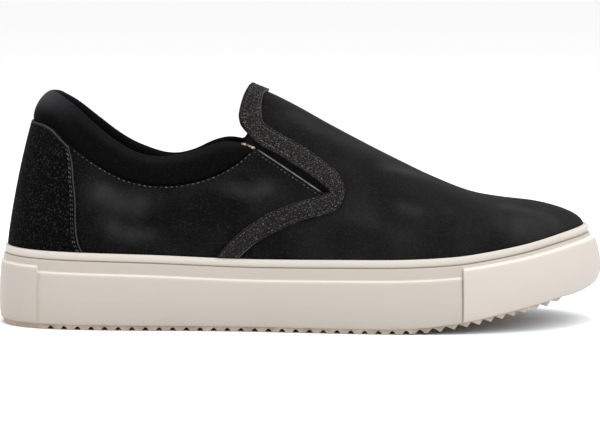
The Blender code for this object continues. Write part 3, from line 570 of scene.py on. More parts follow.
# %% Section of the cup
BEAD_HEIGHT = 0.0038
GROOVE_HEIGHT, GROOVE_DEPTH = 0.0008, 0.0007
PANEL_PROUD, PANEL_CHAMFER, TOE_BULGE = 0.0004, 0.0007, 0.0012
TOE_LEAN_GROWTH, BAND_LEAN, TOE_BAND_LEAN = 0.60, 0.50, 0.82
SIDE_DROP, HEEL_DROP, TOE_DROP = 0.0107, 0.0082, 0.0067
HEEL_PANEL_END, TOE_BUMPER_START = 0.068, 0.765
OUTSOLE_INSET, OUTSOLE_THICKNESS, TOE_TUCK = 0.0013, 0.0029, 0.0135
# The lip over the tread's edge, and the lower corner of the wall, also round the toe
LIP_DEPTH, TOE_LIP_RISE, CORNER_HEIGHT, TOE_CORNER_GROWTH = 0.0004, 0.0002, 0.0012, 0.3
TOE_CORNER_REACH, TOE_CORNER_RISE, TOE_CORNER_INSET = 0.0040, 0.0004, 0.0022
# Half the stretch in which a panel's edge steps, and the slit beside it
STEP_SHARE, SLIT_OFF, SLIT_WIDTH, SLIT_DEPTH = 0.0007, 0.0016, 0.0011, 0.0004
RIM_FALL = 0.0002


def tread_inset(side, way):
    """How far the tread's edge stands in from the outline: further round the toe."""
    return OUTSOLE_INSET + TOE_TUCK * toe_share(side, way)


def cup_section(side, way):
    """Corners of the cup's section at each way, as inset and height."""
    x_share, toe = outline_share(LATERAL, way), toe_share(side, way)
    rim, feather = rim_height(side, way), feather_inset(side, way)
    width = BEAD_WIDTH + TOE_BEAD * toe
    bead = rim_inset(side, way) - width
    heel = 1.0 - smooth(x_share, HEEL_PANEL_END - STEP_SHARE, HEEL_PANEL_END + STEP_SHARE)
    bumper = smooth(x_share, TOE_BUMPER_START - STEP_SHARE, TOE_BUMPER_START + STEP_SHARE)
    drop = SIDE_DROP + (HEEL_DROP - SIDE_DROP) * heel + (TOE_DROP - SIDE_DROP) * bumper
    slit = sum(np.exp(-((x_share - middle) / SLIT_WIDTH) ** 2)
               for middle in (HEEL_PANEL_END + SLIT_OFF, TOE_BUMPER_START - SLIT_OFF))
    proud = PANEL_PROUD * (heel + bumper) - SLIT_DEPTH * slit + TOE_BULGE * toe
    top = rim - drop
    under = tread_inset(side, way)
    lip = under - 2.0 * CLEARANCE
    spring = toe_spring(edge_point(side, way, under)[..., 0])
    seat = spring + OUTSOLE_THICKNESS + CLEARANCE
    lip_low = toe_spring(edge_point(side, way, lip)[..., 0]) + mix(
        OUTSOLE_THICKNESS - LIP_DEPTH, TOE_LIP_RISE, toe)
    corner = mix(lip_low, toe_spring(edge_point(side, way, TOE_CORNER_REACH)[..., 0])
                 + TOE_CORNER_RISE, toe)
    groove_top = rim - BEAD_HEIGHT
    groove_foot = groove_top - GROOVE_HEIGHT
    reach = bead * (1.0 + TOE_LEAN_GROWTH * toe)
    floor = cavity_floor(feather_point(side, way)[..., 0])
    corners = (
        (under, seat), (lip, lip_low),
        (0.15 * bead - proud + TOE_CORNER_INSET * toe,
         corner + CORNER_HEIGHT * (1.0 + TOE_CORNER_GROWTH * toe)),
        (-proud, corner + 0.30 * (top - corner)),
        (0.12 * reach - proud, corner + 0.65 * (top - corner)), (0.42 * reach - proud, top),
        (0.42 * reach + PANEL_CHAMFER, top + PANEL_CHAMFER),
        (mix(BAND_LEAN, TOE_BAND_LEAN, toe) * bead + PANEL_CHAMFER, groove_foot),
        (bead + GROOVE_DEPTH, (groove_foot + groove_top) / 2.0),
        (bead + 0.25 * width, groove_top), (bead, groove_top + 0.35 * BEAD_HEIGHT),
        (bead + 0.15 * width, rim - 0.25 * BEAD_HEIGHT), (bead + 0.45 * width, rim),
        (feather - CLEARANCE, rim - RIM_FALL), (feather - CLEARANCE, floor))
    return np.stack([np.stack([a + 0.0 * rim, b + 0.0 * rim], axis=-1)
                     for a, b in corners], axis=-2)


# How far each corner's rounding reaches; a large value rounds as much as there is room
ROUNDS = (0.0003, 0.0002, 0.002, 0.02, 0.02, 0.0003, 0.0003, 0.0003, 0.0003, 0.0003, 0.02, 0.02,
          0.0006, 0.0002, 0.0002)


def with_rounds(section, rounds, pieces=4):
    """The section with each inner corner replaced by a small curve."""
    count = section.shape[-2]
    out, number = [section[..., 0, :]], [0.0]
    for k in range(1, count - 1):
        corner = section[..., k, :]
        back, front = section[..., k - 1, :] - corner, section[..., k + 1, :] - corner
        back_length = np.linalg.norm(back, axis=-1, keepdims=True)
        front_length = np.linalg.norm(front, axis=-1, keepdims=True)
        start = corner + back / back_length * np.minimum(rounds[k], 0.48 * back_length)
        end = corner + front / front_length * np.minimum(rounds[k], 0.48 * front_length)
        for t in np.linspace(0.0, 1.0, pieces):
            out.append(start * (1 - t) ** 2 + corner * 2 * t * (1 - t) + end * t * t)
            number.append(k + 0.5 * (t - 0.5))
    out.append(section[..., -1, :])
    number.append(count - 1.0)
    return np.stack(out, axis=-2), np.array(number)


# %% The cup, station by station
# Width of the painted shadow line in the slit beside the bumper, and the section's corners that
# are the wall
SLIT_SHADOW_WIDTH, WALL_CORNERS = 0.0012, (0.9, 6.3)


def ways_with(extra, count, near):
    """Even ways with closer ones round each extra place."""
    ways = np.linspace(0.0, 1.0, count)
    for middle in extra:
        ways = ways[np.abs(ways - middle) > near[-1] * 1.5]
        ways = np.concatenate([ways, [middle], middle - np.array(near), middle + np.array(near)])
    return np.sort(ways)


panel_ends = [float(find_way(lambda w: edge_point(LATERAL, w, 0.0)[..., 0], share * LENGTH))
              for share in (HEEL_PANEL_END, TOE_BUMPER_START)]
cup_ways = ways_with(panel_ends, 161, (0.0003, 0.0007, 0.0011, 0.0018, 0.0030))
rings, numbers = [], None
for side, ways in ((LATERAL, cup_ways), (MEDIAL, cup_ways[-2:0:-1])):
    section, numbers = with_rounds(cup_section(side, ways), ROUNDS)
    plan = edge_point(side, np.repeat(ways[:, None], section.shape[1], axis=1), section[..., 0])
    rings.append(np.concatenate([plan, section[..., 1:]], axis=-1))
cup = np.concatenate(rings).transpose(1, 0, 2)
cup[..., 0] -= LENGTH / 2.0
rows, columns = cup.shape[:2]
faces = grid_faces(rows, columns, closed=True)
toe = columns // 2
for row in (0, rows - 1):
    for i in range(toe):
        j = (columns - i) % columns
        quad = [row * columns + k for k in (i, i + 1, columns - i - 1, j)]
        faces.append([k for n, k in enumerate(quad) if k != quad[n - 1]])
stand = np.concatenate([cup_ways, cup_ways[-2:0:-1]])
x_share = outline_share(LATERAL, stand)
bumper = np.where(x_share > TOE_BUMPER_START, 1.0, 0.0)
# Painted shadow along the slit just behind the bumper, on the wall only
slit_painted_shadow = np.exp(-((x_share - TOE_BUMPER_START + SLIT_OFF) / SLIT_SHADOW_WIDTH) ** 2)
on_wall = ((numbers > WALL_CORNERS[0]) & (numbers < WALL_CORNERS[1]))[:, None]
cup_wall = make_piece("cup_wall", cup, faces, [RUBBER],
                      {"section": np.repeat(numbers, columns), "bumper": on_wall * bumper,
                       "slit_painted_shadow": on_wall * slit_painted_shadow}, sharp=48)
print("cup", rows, "rings of", columns, "points")

# %% [markdown]
# ## The tread
#
# Under the cup lies a thin tan sheet of harder rubber.  Rounded notches cross it from
# side to side, and towards the toe they open into a sawtooth, which is the row of light
# teeth that one sees under the front of the shoe.  A boolean for each notch would work
# too.  The cut lines run straight across, so it is simpler to list the heights along
# the shoe and sweep them from one edge to the other.

# %% Finish of the tread
tread_rubber = Finish("tread_rubber")
wear = tread_rubber.noise(120.0, 3.0)
tread_colour = tread_rubber.ramp(wear, [(0.3, (0.26, 0.19, 0.13)), (0.7, (0.44, 0.35, 0.27))])
TREAD = tread_rubber.set(Base_Color=tread_colour, Roughness=0.7,
                         Normal=tread_rubber.bump(tread_rubber.noise(900.0), 0.2, 0.0002))

# %% Heights of the tread along the shoe
TREAD_DEPTH, TREAD_PITCH, TREAD_NOTCH, TOOTH_DEPTH = 0.0018, 0.0067, 0.0031, 0.0022
PLAIN_HEEL, PLAIN_TOE = 0.088, 0.020
# Stretches of the length in which the notches open into teeth and draw closer
OPENING, CLOSING_UP, TOE_PITCH = (0.66, 0.76), (0.70, 0.82), 0.84
TOOTH_LEAN, NOTCH_SHARPNESS, TOOTH_WIDTH = 0.35, 0.35, 0.98
heel_x = float(edge_point(LATERAL, 0.0, tread_inset(LATERAL, 0.0))[0])
toe_x = float(edge_point(LATERAL, 1.0, tread_inset(LATERAL, 1.0))[0])
first_notch = heel_x + PLAIN_HEEL * LENGTH
stations = heel_x + (first_notch - TREAD_NOTCH - heel_x) * np.linspace(0.02, 1.0, 30) ** 2
lines = [(x, 0.0) for x in stations]
middle, notches = first_notch, 0
while middle < toe_x - PLAIN_TOE * LENGTH:
    open_share = float(smooth(middle / LENGTH, *OPENING))
    pitch = TREAD_PITCH * mix(1.0, TOE_PITCH, float(smooth(middle / LENGTH, *CLOSING_UP)))
    width = mix(TREAD_NOTCH, pitch * TOOTH_WIDTH, open_share)
    apex = -TOOTH_LEAN * open_share
    for t in np.linspace(-1.0, 1.0, 13):
        slope = (t + 1.0) / (apex + 1.0) if t < apex else (1.0 - t) / (1.0 - apex)
        depth = mix(math.sqrt(max(1.0 - t * t, 0.0)), slope,
                    mix(NOTCH_SHARPNESS, 1.0, open_share))
        lines.append((middle + t * width / 2.0, depth * mix(TREAD_DEPTH, TOOTH_DEPTH, open_share)))
    middle, notches = middle + pitch, notches + 1
last_x = lines[-1][0]
for t in np.linspace(1.0, 0.02, 30):
    lines.append((toe_x - (toe_x - last_x - 0.0002) * t ** 2, 0.0))
print("tread with", notches, "notches")


# %% The tread
HEEL_BEVEL, HEEL_BEVEL_LENGTH, TREAD_ROUNDING = 0.0018, 0.010, 0.0003


def tread_rows(lines):
    """Six points across the tread at each of the lines."""
    x = np.array([line[0] for line in lines])
    depth = np.array([line[1] for line in lines])
    bevel = HEEL_BEVEL * np.maximum(1.0 - (x - heel_x) / HEEL_BEVEL_LENGTH, 0.0) ** 2
    low = toe_spring(x) + depth + bevel
    high = toe_spring(x) + OUTSOLE_THICKNESS
    low = np.minimum(low, high - TREAD_ROUNDING)
    sides = {}
    for side in (LATERAL, MEDIAL):
        way = find_way(lambda w: edge_point(side, w, tread_inset(side, w))[..., 0], x)
        sides[side] = edge_point(side, way, tread_inset(side, way))[..., 1]
    y_low, y_high = sides[LATERAL], sides[MEDIAL]
    inside = np.minimum(TREAD_ROUNDING, (y_high - y_low) / 4.0)
    foot = np.minimum(low + TREAD_ROUNDING, high)
    loop = ((y_low, high), (y_low, foot), (y_low + inside, low),
            (y_high - inside, low), (y_high, foot), (y_high, high))
    return np.stack([np.stack([x - LENGTH / 2.0, y, z], axis=-1) for y, z in loop], axis=1)


rows_of_tread = tread_rows(lines)
count, around = rows_of_tread.shape[:2]
faces = grid_faces(count, around, closed=True)
faces += [list(range(around)), [(count - 1) * around + k for k in reversed(range(around))]]
tread = make_piece("tread", rows_of_tread, faces, [TREAD], sharp=30)
print("tread", len(tread.data.polygons), "faces")

# %% [markdown]
# ## The footbed
#
# Inside lies a thin foam sole under black cloth.  A flat plate would do from the side,
# but one looks down at it through the opening, so it is a grid between the two feather
# lines, dished towards its middle and rounded at its rim.

# %% Finish of the inside
lining_cloth = Finish("lining_cloth")
rib = lining_cloth.add("ShaderNodeTexWave", wave_type="BANDS", bands_direction="Z", Scale=260.0,
                       Distortion=1.2)
lining_cloth.join(lining_cloth.where(), rib.inputs["Vector"])
lining_shade = lining_cloth.ramp(lining_cloth.noise(240.0), [
    (0.3, (0.006, 0.006, 0.0065)), (0.8, (0.016, 0.016, 0.017))])
LINING = lining_cloth.set(Base_Color=lining_shade, Roughness=0.9, Specular_IOR_Level=0.1,
                          Normal=lining_cloth.bump(rib.outputs["Fac"], 0.4, 0.0003))

# %% The footbed
UPPER_WALL, INSOLE_THICKNESS = 0.0022, 0.0050
DISH_RIM, DISH_MIDDLE = 0.0002, -0.0010
bed_ways = np.linspace(0.0, 1.0, 90)
bed_edges = {side: edge_point(side, bed_ways, feather_inset(side, bed_ways) + UPPER_WALL
                              + CLEARANCE) for side in (LATERAL, MEDIAL)}
share = np.linspace(0.0, 1.0, 25)[None, :, None]
bed_plan = bed_edges[LATERAL][:, None] * (1 - share) + bed_edges[MEDIAL][:, None] * share
from_edge = np.minimum(share[..., 0], 1.0 - share[..., 0]) * 2.0
bed_floor = cavity_floor(bed_plan[..., 0]) + CLEARANCE
dish = mix(DISH_RIM, DISH_MIDDLE, smooth(from_edge, 0.0, 0.8))
bed_top = bed_floor + INSOLE_THICKNESS + dish
bed_outer = np.concatenate([bed_plan - [LENGTH / 2.0, 0.0], bed_top[..., None]], axis=-1)
bed_inner = np.concatenate([bed_plan - [LENGTH / 2.0, 0.0], bed_floor[..., None]], axis=-1)
points, faces = sheet_between(bed_outer, bed_inner)
footbed = make_piece("footbed", points, faces, [LINING], sharp=40, weld=1e-5)
print("footbed", len(footbed.data.polygons), "faces")

# %% [markdown]
# ## The upper
#
# The vamp, the flap over the instep and the two quarters are cut from one nubuck.  The
# CAD cuts them from a closed dome with a boolean, which leaves knife edges.  Here each
# side is woven from three grids that end exactly on the seam, on the slot for the
# elastic and on the flap's edge.  They are welded into one skin, pressed in and out
# where the shoe creases, and then given their thickness.

# %% Edges of the skin on one side
LOW_ROWS, HIGH_ROWS = 30, 40
QUARTER_COLUMNS, VAMP_COLUMNS, FLAP_COLUMNS = 130, 110, 60


def quarter_top(side):
    """Ways and rises of the quarter's top: the collar's seam, then the slot's lower edge."""
    seam_x = np.linspace(QUARTER_EDGE[0][0] - 0.02, QUARTER_EDGE[-1][0], 90)
    seam_z = along(QUARTER_EDGE, seam_x) * collar_height(seam_x)
    front = open_spline([side_view(row) for row in QUARTER_FRONT], 10)
    tip = side_view(FLAP_EDGE[-1])
    x = np.concatenate([(seam_x - 0.5) * LENGTH, front[:, 0], [tip[0]]])
    z = np.concatenate([seam_z, front[:, 1], [tip[1]]])
    ways, rises = place(side, x, z)
    order = np.argsort(ways)
    return ways[order], rises[order]


def flap_edge(side, count):
    """Ways and rises along the flap's edge, evenly spaced, from its top to the slot's end."""
    drawn = open_spline([side_view(row) for row in FLAP_EDGE], 8)
    ways, rises = place(side, drawn[:, 0], drawn[:, 1])
    pts = skin(side, ways, rises)
    travel = np.concatenate([[0.0], np.cumsum(np.linalg.norm(np.diff(pts, axis=0), axis=1))])
    even = np.linspace(0.0, travel[-1], count)
    return np.interp(even, travel, ways), np.interp(even, travel, rises)


slot_end = {side: flap_edge(side, FLAP_COLUMNS) for side in (LATERAL, MEDIAL)}
ridge_slot_way = float(slot_end[LATERAL][0][-1])
ridge_top_way = float(find_way(lambda w: at(w, RIDGE_X), FLAP_EDGE[0][0] * LENGTH))
print("slot ends at way", {s: round(float(e[0][-1]), 3) for s, e in slot_end.items()})


# %% Grids of ways and rises
def skin_grids(side):
    """Quarter, flap and vamp as grids of ways and rises."""
    end_way, end_rise = float(slot_end[side][0][-1]), float(slot_end[side][1][-1])
    rows = np.linspace(0.0, 1.0, LOW_ROWS)[:, None]
    quarter_ways = np.linspace(0.0, end_way, QUARTER_COLUMNS)
    edge_ways, edge_rises = quarter_top(side)
    top = np.interp(quarter_ways, edge_ways, edge_rises)
    top[-1] = end_rise
    quarter = (np.repeat(quarter_ways[None], LOW_ROWS, axis=0), rows * top[None])
    vamp_low = np.linspace(end_way, 1.0, VAMP_COLUMNS)
    vamp_high = np.linspace(ridge_slot_way, 1.0, VAMP_COLUMNS)
    low = (np.repeat(vamp_low[None], LOW_ROWS, axis=0), rows * end_rise + 0.0 * vamp_low[None])
    up = np.linspace(0.0, 1.0, HIGH_ROWS)[:, None]
    high = (mix(vamp_low[None], vamp_high[None], up), mix(end_rise, 1.0, up) + 0.0 * vamp_low)
    flap_ways, flap_rises = slot_end[side]
    ridge = np.linspace(ridge_top_way, ridge_slot_way, FLAP_COLUMNS)
    flap = (mix(flap_ways[None], ridge[None], up), mix(flap_rises[None], 1.0, up))
    return [quarter, low, high, flap]


# %% [markdown]
# ### Creases, worn nap and painted highlights
#
# A sculptor would brush the creases in.  A script can do the same with a few strokes:
# each stroke is a line through places in the side view, with a width and a height, and
# the skin is lifted or sunk round it as under a soft thumb.  A second list of strokes
# says where the nubuck is painted lighter: in part nap that is worn lighter, in part
# painted highlights on the crease ridges, along the vamp's ridge and on the toe.

# %% Strokes on the skin
def stroke_line(side, points):
    pts = open_spline([((x - 0.5) * LENGTH, z * INSTEP_HEIGHT) for x, z in points], 8)
    return skin(side, *place(side, pts[:, 0], pts[:, 1]))


def distance_to(points, line):
    """Distance of each point from a polyline, and how far along it the nearest place is."""
    best, share = np.full(len(points), np.inf), np.zeros(len(points))
    for k in range(len(line) - 1):
        a, b = line[k], line[k + 1]
        t = np.clip(((points - a) @ (b - a)) / max(float((b - a) @ (b - a)), 1e-12), 0.0, 1.0)
        away = np.linalg.norm(points - a - t[:, None] * (b - a), axis=1)
        nearer = away < best
        best[nearer] = away[nearer]
        share[nearer] = (k + t[nearer]) / (len(line) - 1)
    return best, share


def pressed(points, strokes):
    """Sum of soft strokes, each fading out at both of its ends."""
    total = np.zeros(len(points))
    for side, width, height, places in strokes:
        line = stroke_line(side, places)
        near = np.abs(points - line.mean(axis=0)).max(axis=1) < 0.12
        away, share = distance_to(points[near], line)
        fade = smooth(share, -0.05, 0.25) * (1.0 - smooth(share, 0.75, 1.05))
        total[near] += height * np.exp(-(away / width) ** 2) * (0.25 + 0.75 * fade)
    return total


# Side, width, height (both in metres) and places as shares of length and instep height
CREASES = (
    (LATERAL, 0.0050, 0.0011, ((0.10, 0.66), (0.17, 0.57), (0.25, 0.53), (0.33, 0.53))),
    (LATERAL, 0.0060, -0.0010, ((0.16, 0.50), (0.22, 0.44), (0.29, 0.41))),
    (LATERAL, 0.0050, 0.0007, ((0.14, 0.40), (0.20, 0.37), (0.26, 0.36))),
    (LATERAL, 0.0045, 0.0007, ((0.33, 0.58), (0.38, 0.55), (0.42, 0.56), (0.45, 0.59))),
    (LATERAL, 0.0060, -0.0008, ((0.30, 0.47), (0.36, 0.45), (0.41, 0.42))),
    (LATERAL, 0.0070, -0.0010, ((0.58, 0.56), (0.62, 0.50), (0.66, 0.44), (0.70, 0.40))),
    (LATERAL, 0.0060, 0.0008, ((0.64, 0.60), (0.68, 0.54), (0.72, 0.47), (0.75, 0.42))),
    (LATERAL, 0.0060, -0.0007, ((0.72, 0.55), (0.76, 0.50), (0.79, 0.44), (0.81, 0.39))),
    (MEDIAL, 0.0050, 0.0010, ((0.12, 0.64), (0.19, 0.56), (0.26, 0.53), (0.33, 0.54))),
    (MEDIAL, 0.0060, -0.0010, ((0.16, 0.48), (0.23, 0.44), (0.31, 0.43))),
    (MEDIAL, 0.0065, -0.0009, ((0.60, 0.56), (0.64, 0.50), (0.68, 0.43))),
    (MEDIAL, 0.0060, 0.0008, ((0.66, 0.58), (0.70, 0.51), (0.74, 0.44))),
)
# Lighter strokes: partly nap worn lighter, partly painted highlights on the crease ridges, along
# the vamp's ridge and on the toe
NAP_WORN_AND_HIGHLIT = (
    (LATERAL, 0.0060, 0.80, ((0.16, 0.58), (0.21, 0.53), (0.26, 0.50))),
    (LATERAL, 0.0045, 0.55, ((0.18, 0.44), (0.22, 0.40), (0.27, 0.40))),
    (LATERAL, 0.0040, 0.55, ((0.37, 0.60), (0.41, 0.57), (0.44, 0.58), (0.46, 0.60))),
    (LATERAL, 0.0060, 0.30, ((0.47, 0.90), (0.52, 0.83), (0.58, 0.76), (0.63, 0.70))),
    (LATERAL, 0.0045, 0.65, ((0.63, 0.665), (0.67, 0.645), (0.70, 0.62))),
    (LATERAL, 0.0035, 0.40, ((0.66, 0.52), (0.68, 0.50), (0.70, 0.49))),
    (LATERAL, 0.0050, 0.45, ((0.82, 0.50), (0.86, 0.49), (0.90, 0.46))),
    (LATERAL, 0.0110, 0.50, ((0.84, 0.45), (0.89, 0.43), (0.94, 0.42))),
    (LATERAL, 0.0070, 0.25, ((0.55, 0.50), (0.60, 0.47), (0.65, 0.42))),
    (MEDIAL, 0.0060, 0.70, ((0.17, 0.56), (0.22, 0.52), (0.28, 0.50))),
    (MEDIAL, 0.0050, 0.50, ((0.62, 0.60), (0.67, 0.55), (0.71, 0.50))),
    (MEDIAL, 0.0050, 0.40, ((0.80, 0.48), (0.85, 0.46), (0.89, 0.43))),
)

# %% Finish of the nubuck
nubuck = Finish("charcoal_nubuck")
where = nubuck.where()
nap = nubuck.noise(1500.0, 2.0, 0.6, where)
grain = nubuck.noise(420.0, 3.0, 0.6, where)
patch = nubuck.noise(34.0, 4.0, 0.6, where)
drift = nubuck.noise(11.0, 2.0, 0.5, where)
# Lighter where the strokes lie: worn nap together with painted highlights
wear_and_highlight = nubuck.math("MULTIPLY", nubuck.attribute("nap_worn_and_highlit"), nubuck.math("ADD", patch, 0.25))
light = nubuck.math("ADD", wear_and_highlight, nubuck.math("MULTIPLY", nubuck.math("SUBTRACT", patch, 0.45), 0.7),
                    clamp=True)
# Painted shade: the nubuck is made darker over the quarters, towards the heel
dark = nubuck.blend(nubuck.attribute("deep"), nubuck.blend(
    drift, (0.0028, 0.0027, 0.0028), (0.0078, 0.0074, 0.0076)), (0.0016, 0.0016, 0.0016))
worn_and_highlit = nubuck.blend(light, dark, (0.031, 0.030, 0.031))
dust = nubuck.blend(nubuck.math("MULTIPLY", nubuck.math("SUBTRACT", nap, 0.52), 1.1, clamp=True),
                    worn_and_highlit, (0.050, 0.049, 0.050))
height = nubuck.math("ADD", nubuck.math("MULTIPLY", grain, 0.7), nubuck.math("MULTIPLY", nap, 0.3))
NUBUCK = nubuck.set(Base_Color=dust, Roughness=0.88, Sheen_Weight=0.028, Sheen_Roughness=0.4,
                    Specular_IOR_Level=0.04, Normal=nubuck.bump(height, 0.35, 0.0004))

cut_edge = Finish("cut_edge")
edge_shade = cut_edge.ramp(cut_edge.noise(700.0), [(0.3, (0.004, 0.004, 0.004)),
                                                   (0.75, (0.014, 0.013, 0.013))])
CUT_EDGE = cut_edge.set(Base_Color=edge_shade, Roughness=0.9, Specular_IOR_Level=0.05)


# %% Weave the skin
def woven_skin():
    """All the grids of both sides, and under them the foot that stands in the cup."""
    points, faces, first = [], [], 0
    for side in (LATERAL, MEDIAL):
        grids = [skin(side, ways, rises) for ways, rises in skin_grids(side)]
        ways = np.linspace(0.0, 1.0, QUARTER_COLUMNS + VAMP_COLUMNS - 1)
        foot = feather_point(side, ways)
        low = cavity_floor(foot[:, 0]) + CLEARANCE
        z = mix(low[None], at(ways, RIMS[side])[None], np.linspace(0.0, 1.0, 5)[:, None])
        grids.append(np.stack([foot[None, :, 0] - LENGTH / 2 + 0 * z,
                               foot[None, :, 1] + 0 * z, z], -1))
        for grid in grids:
            quads = grid_faces(*grid.shape[:2], first)
            points.append(grid.reshape(-1, 3))
            faces += quads if side == LATERAL else [q[::-1] for q in quads]
            first += grid.shape[0] * grid.shape[1]
    return np.concatenate(points), faces


points, faces = woven_skin()
shell = make_piece("shell", points, faces, [NUBUCK, LINING, CUT_EDGE], weld=0.00002)
count = len(shell.data.vertices)
places, normals = np.empty(count * 3), np.empty(count * 3)
shell.data.vertices.foreach_get("co", places)
shell.data.vertex_normals.foreach_get("vector", normals)
places, normals = places.reshape(-1, 3), normals.reshape(-1, 3)
print("skin", count, "points, box", places.min(axis=0).round(4), places.max(axis=0).round(4))

# %% Press the skin and give it its wall
press = pressed(places, CREASES)
moved = places + normals * press[:, None]
shell.data.vertices.foreach_set("co", moved.ravel())
# The lighter strokes, worn nap and painted highlights, kept as a point attribute
nap_worn_and_highlit = shell.data.attributes.new("nap_worn_and_highlit", "FLOAT", "POINT")
nap_worn_and_highlit.data.foreach_set("value", pressed(places, NAP_WORN_AND_HIGHLIT).astype(np.float32))
# Painted shade over the quarters: darker towards the heel
deep = shell.data.attributes.new("deep", "FLOAT", "POINT")
deep.data.foreach_set("value", (0.75 * (1.0 - smooth(places[:, 0], -0.035, 0.03))
                                ).astype(np.float32))
wall = shell.modifiers.new("wall", "SOLIDIFY")
wall.thickness, wall.offset = UPPER_WALL, -1.0
wall.material_offset, wall.material_offset_rim = 1, 2
soft_rim = shell.modifiers.new("soft_rim", "BEVEL")
soft_rim.width, soft_rim.segments = 0.0005, 3
soft_rim.limit_method, soft_rim.angle_limit = "ANGLE", math.radians(55)
print("creases from", (press.min() * 1000).round(2), "to", (press.max() * 1000).round(2), "mm")

# %% [markdown]
# ## Suede overlays
#
# The counter hugs the heel and the band runs from the top of the flap, round the front
# of the slot, down to the sole.  Either could be a copy of the skin, thickened, but a
# cut edge that catches the light needs its own clean border.  So each is a grid laid on
# the pressed skin, with its lines crowded at the border, where the stitches sink in.

# %% Finish of the suede
def suede_finish(name, ground, flecks, coarse, border, sheen, spread):
    """Suede whose brushed tufts show as flecks: ground and flecks are colours, the flecks are
    painted lighter higher up, and border is the colour of the painted highlight on the cut edge.
    """
    suede = Finish(name)
    where = suede.where()
    tuft = suede.noise(coarse, 2.0, 0.65, where)
    fine_tuft = suede.noise(2.0 * coarse, 2.0, 0.7, where)
    haze = suede.noise(45.0, 3.0, 0.6, where)
    base = suede.blend(haze, ground, tuple(2.2 * part for part in ground))
    bright = suede.ramp(tuft, [(spread[0], (0.0, 0.0, 0.0)), (spread[1], (1.0, 1.0, 1.0))])
    # Painted light: the flecks are lighter higher up the shoe, where the light from above falls
    high = suede.math("MULTIPLY", suede.height_share(0.035, 0.075), 0.45)
    painted_light_by_height = suede.math("ADD", high, 0.55)
    tufted = suede.blend(suede.math("MULTIPLY", bright, painted_light_by_height), base, flecks)
    # Painted highlight along the cut edges, where the border attribute says
    edged = suede.blend(suede.attribute("border"), tufted, border)
    lump = suede.math("ADD", suede.math("MULTIPLY", fine_tuft, 0.4),
                      suede.math("MULTIPLY", tuft, 0.6))
    return suede.set(Base_Color=edged, Roughness=0.93, Sheen_Weight=sheen, Sheen_Roughness=0.4,
                     Specular_IOR_Level=0.04, Normal=suede.bump(lump, 0.7, 0.0005))


COUNTER_SUEDE = suede_finish("black_suede", (0.0008, 0.0008, 0.0008), (0.026, 0.025, 0.025), 950.0,
                             (0.050, 0.048, 0.046), 0.003, (0.53, 0.74))
BAND_SUEDE = suede_finish("brushed_suede", (0.0062, 0.0056, 0.0056), (0.260, 0.238, 0.232), 1900.0,
                          (0.090, 0.085, 0.082), 0.015, (0.57, 0.80))

# %% Overlay helpers
OVERLAY_THICKNESS = 0.0012


def grid_normals(grid, hint):
    ahead, up = np.gradient(grid, axis=1), np.gradient(grid, axis=0)
    normal = np.cross(ahead, up)
    normal /= np.maximum(np.linalg.norm(normal, axis=-1, keepdims=True), 1e-12)
    return normal * np.sign((normal * hint).sum(axis=-1).mean())


def laid_on(name, grid, hint, sink, border, material):
    """A suede sheet on a grid of the skin: sink is how deep its face lies under full height."""
    flat = grid.reshape(-1, 3)
    normal = grid_normals(grid, hint)
    lift = pressed(flat, CREASES).reshape(grid.shape[:2]) + CLEARANCE
    outer = grid + normal * (lift + OVERLAY_THICKNESS - sink)[..., None]
    inner = grid + normal * (lift - 0.0002)[..., None]
    points, faces = sheet_between(outer, inner)
    piece = make_piece(name, points, faces, [material],
                       {"border": np.concatenate([border.ravel(), border.ravel()])})
    rim = piece.modifiers.new("rim", "BEVEL")
    rim.width, rim.segments, rim.limit_method = 0.00035, 3, "ANGLE"
    rim.angle_limit = math.radians(50)
    return piece, outer, normal


def trough(distance, middle, width=0.00045, depth=0.00035):
    return depth * np.exp(-((distance - middle) / width) ** 2)


# %% The heel counter
COUNTER_EDGE = (
    (0.00, 0.1450), (0.15, 0.1385), (0.35, 0.1350), (0.60, 0.1340), (0.80, 0.1315),
    (0.93, 0.1275), (1.00, 0.1220),
)
COUNTER_ROWS = (0.0019, 0.0031)


def counter_rise(side, way, up):
    low = rise_at(side, way, at(way, RIMS[side]) + CLEARANCE)
    edge = skin(side, way, rise_on(side, way, QUARTER_EDGE))[..., 2]
    return mix(low, rise_at(side, way, edge - 2.0 * CLEARANCE), up)


near = np.array([0.0, 0.2, 0.5, 0.9, 1.3, 1.6, 1.9, 2.2, 2.5, 2.8, 3.1, 3.4, 3.8, 4.4, 5.2])
from_front = np.concatenate([near, np.linspace(6.4, 72.0, 44)]) * 0.001
up = np.concatenate([np.linspace(0.0, 0.93, 46), [0.95, 0.965, 0.98, 0.99, 1.0]])[:, None]
sides = {}
for side in (LATERAL, MEDIAL):
    edge_x = along(COUNTER_EDGE, up[:, 0]) * LENGTH - LENGTH / 2.0
    front = find_way(lambda w: skin(side, w, counter_rise(side, w, up[:, 0]))[..., 0], edge_x)
    half = front[:, None] * (1.0 - from_front / 0.072)[None, :]
    sides[side] = skin(side, half, counter_rise(side, half, up + 0.0 * half))
counter = np.concatenate([sides[LATERAL], sides[MEDIAL][:, -2::-1]], axis=1)
away = np.concatenate([from_front, from_front[-2::-1]])[None, :] + 0.0 * up
sink = sum(trough(away, row) for row in COUNTER_ROWS)
# Painted highlight along the counter's front and top edges
border = (1.0 - smooth(away, 0.0, 0.0005)) + smooth(up, 0.985, 1.0) * np.ones_like(away)
heel_counter, counter_face, counter_out = laid_on(
    "counter_suede", counter, np.array([-1.0, 0.0, 0.0]), sink, np.clip(border, 0, 1),
    COUNTER_SUEDE)
print("counter", counter.shape[:2], "points")

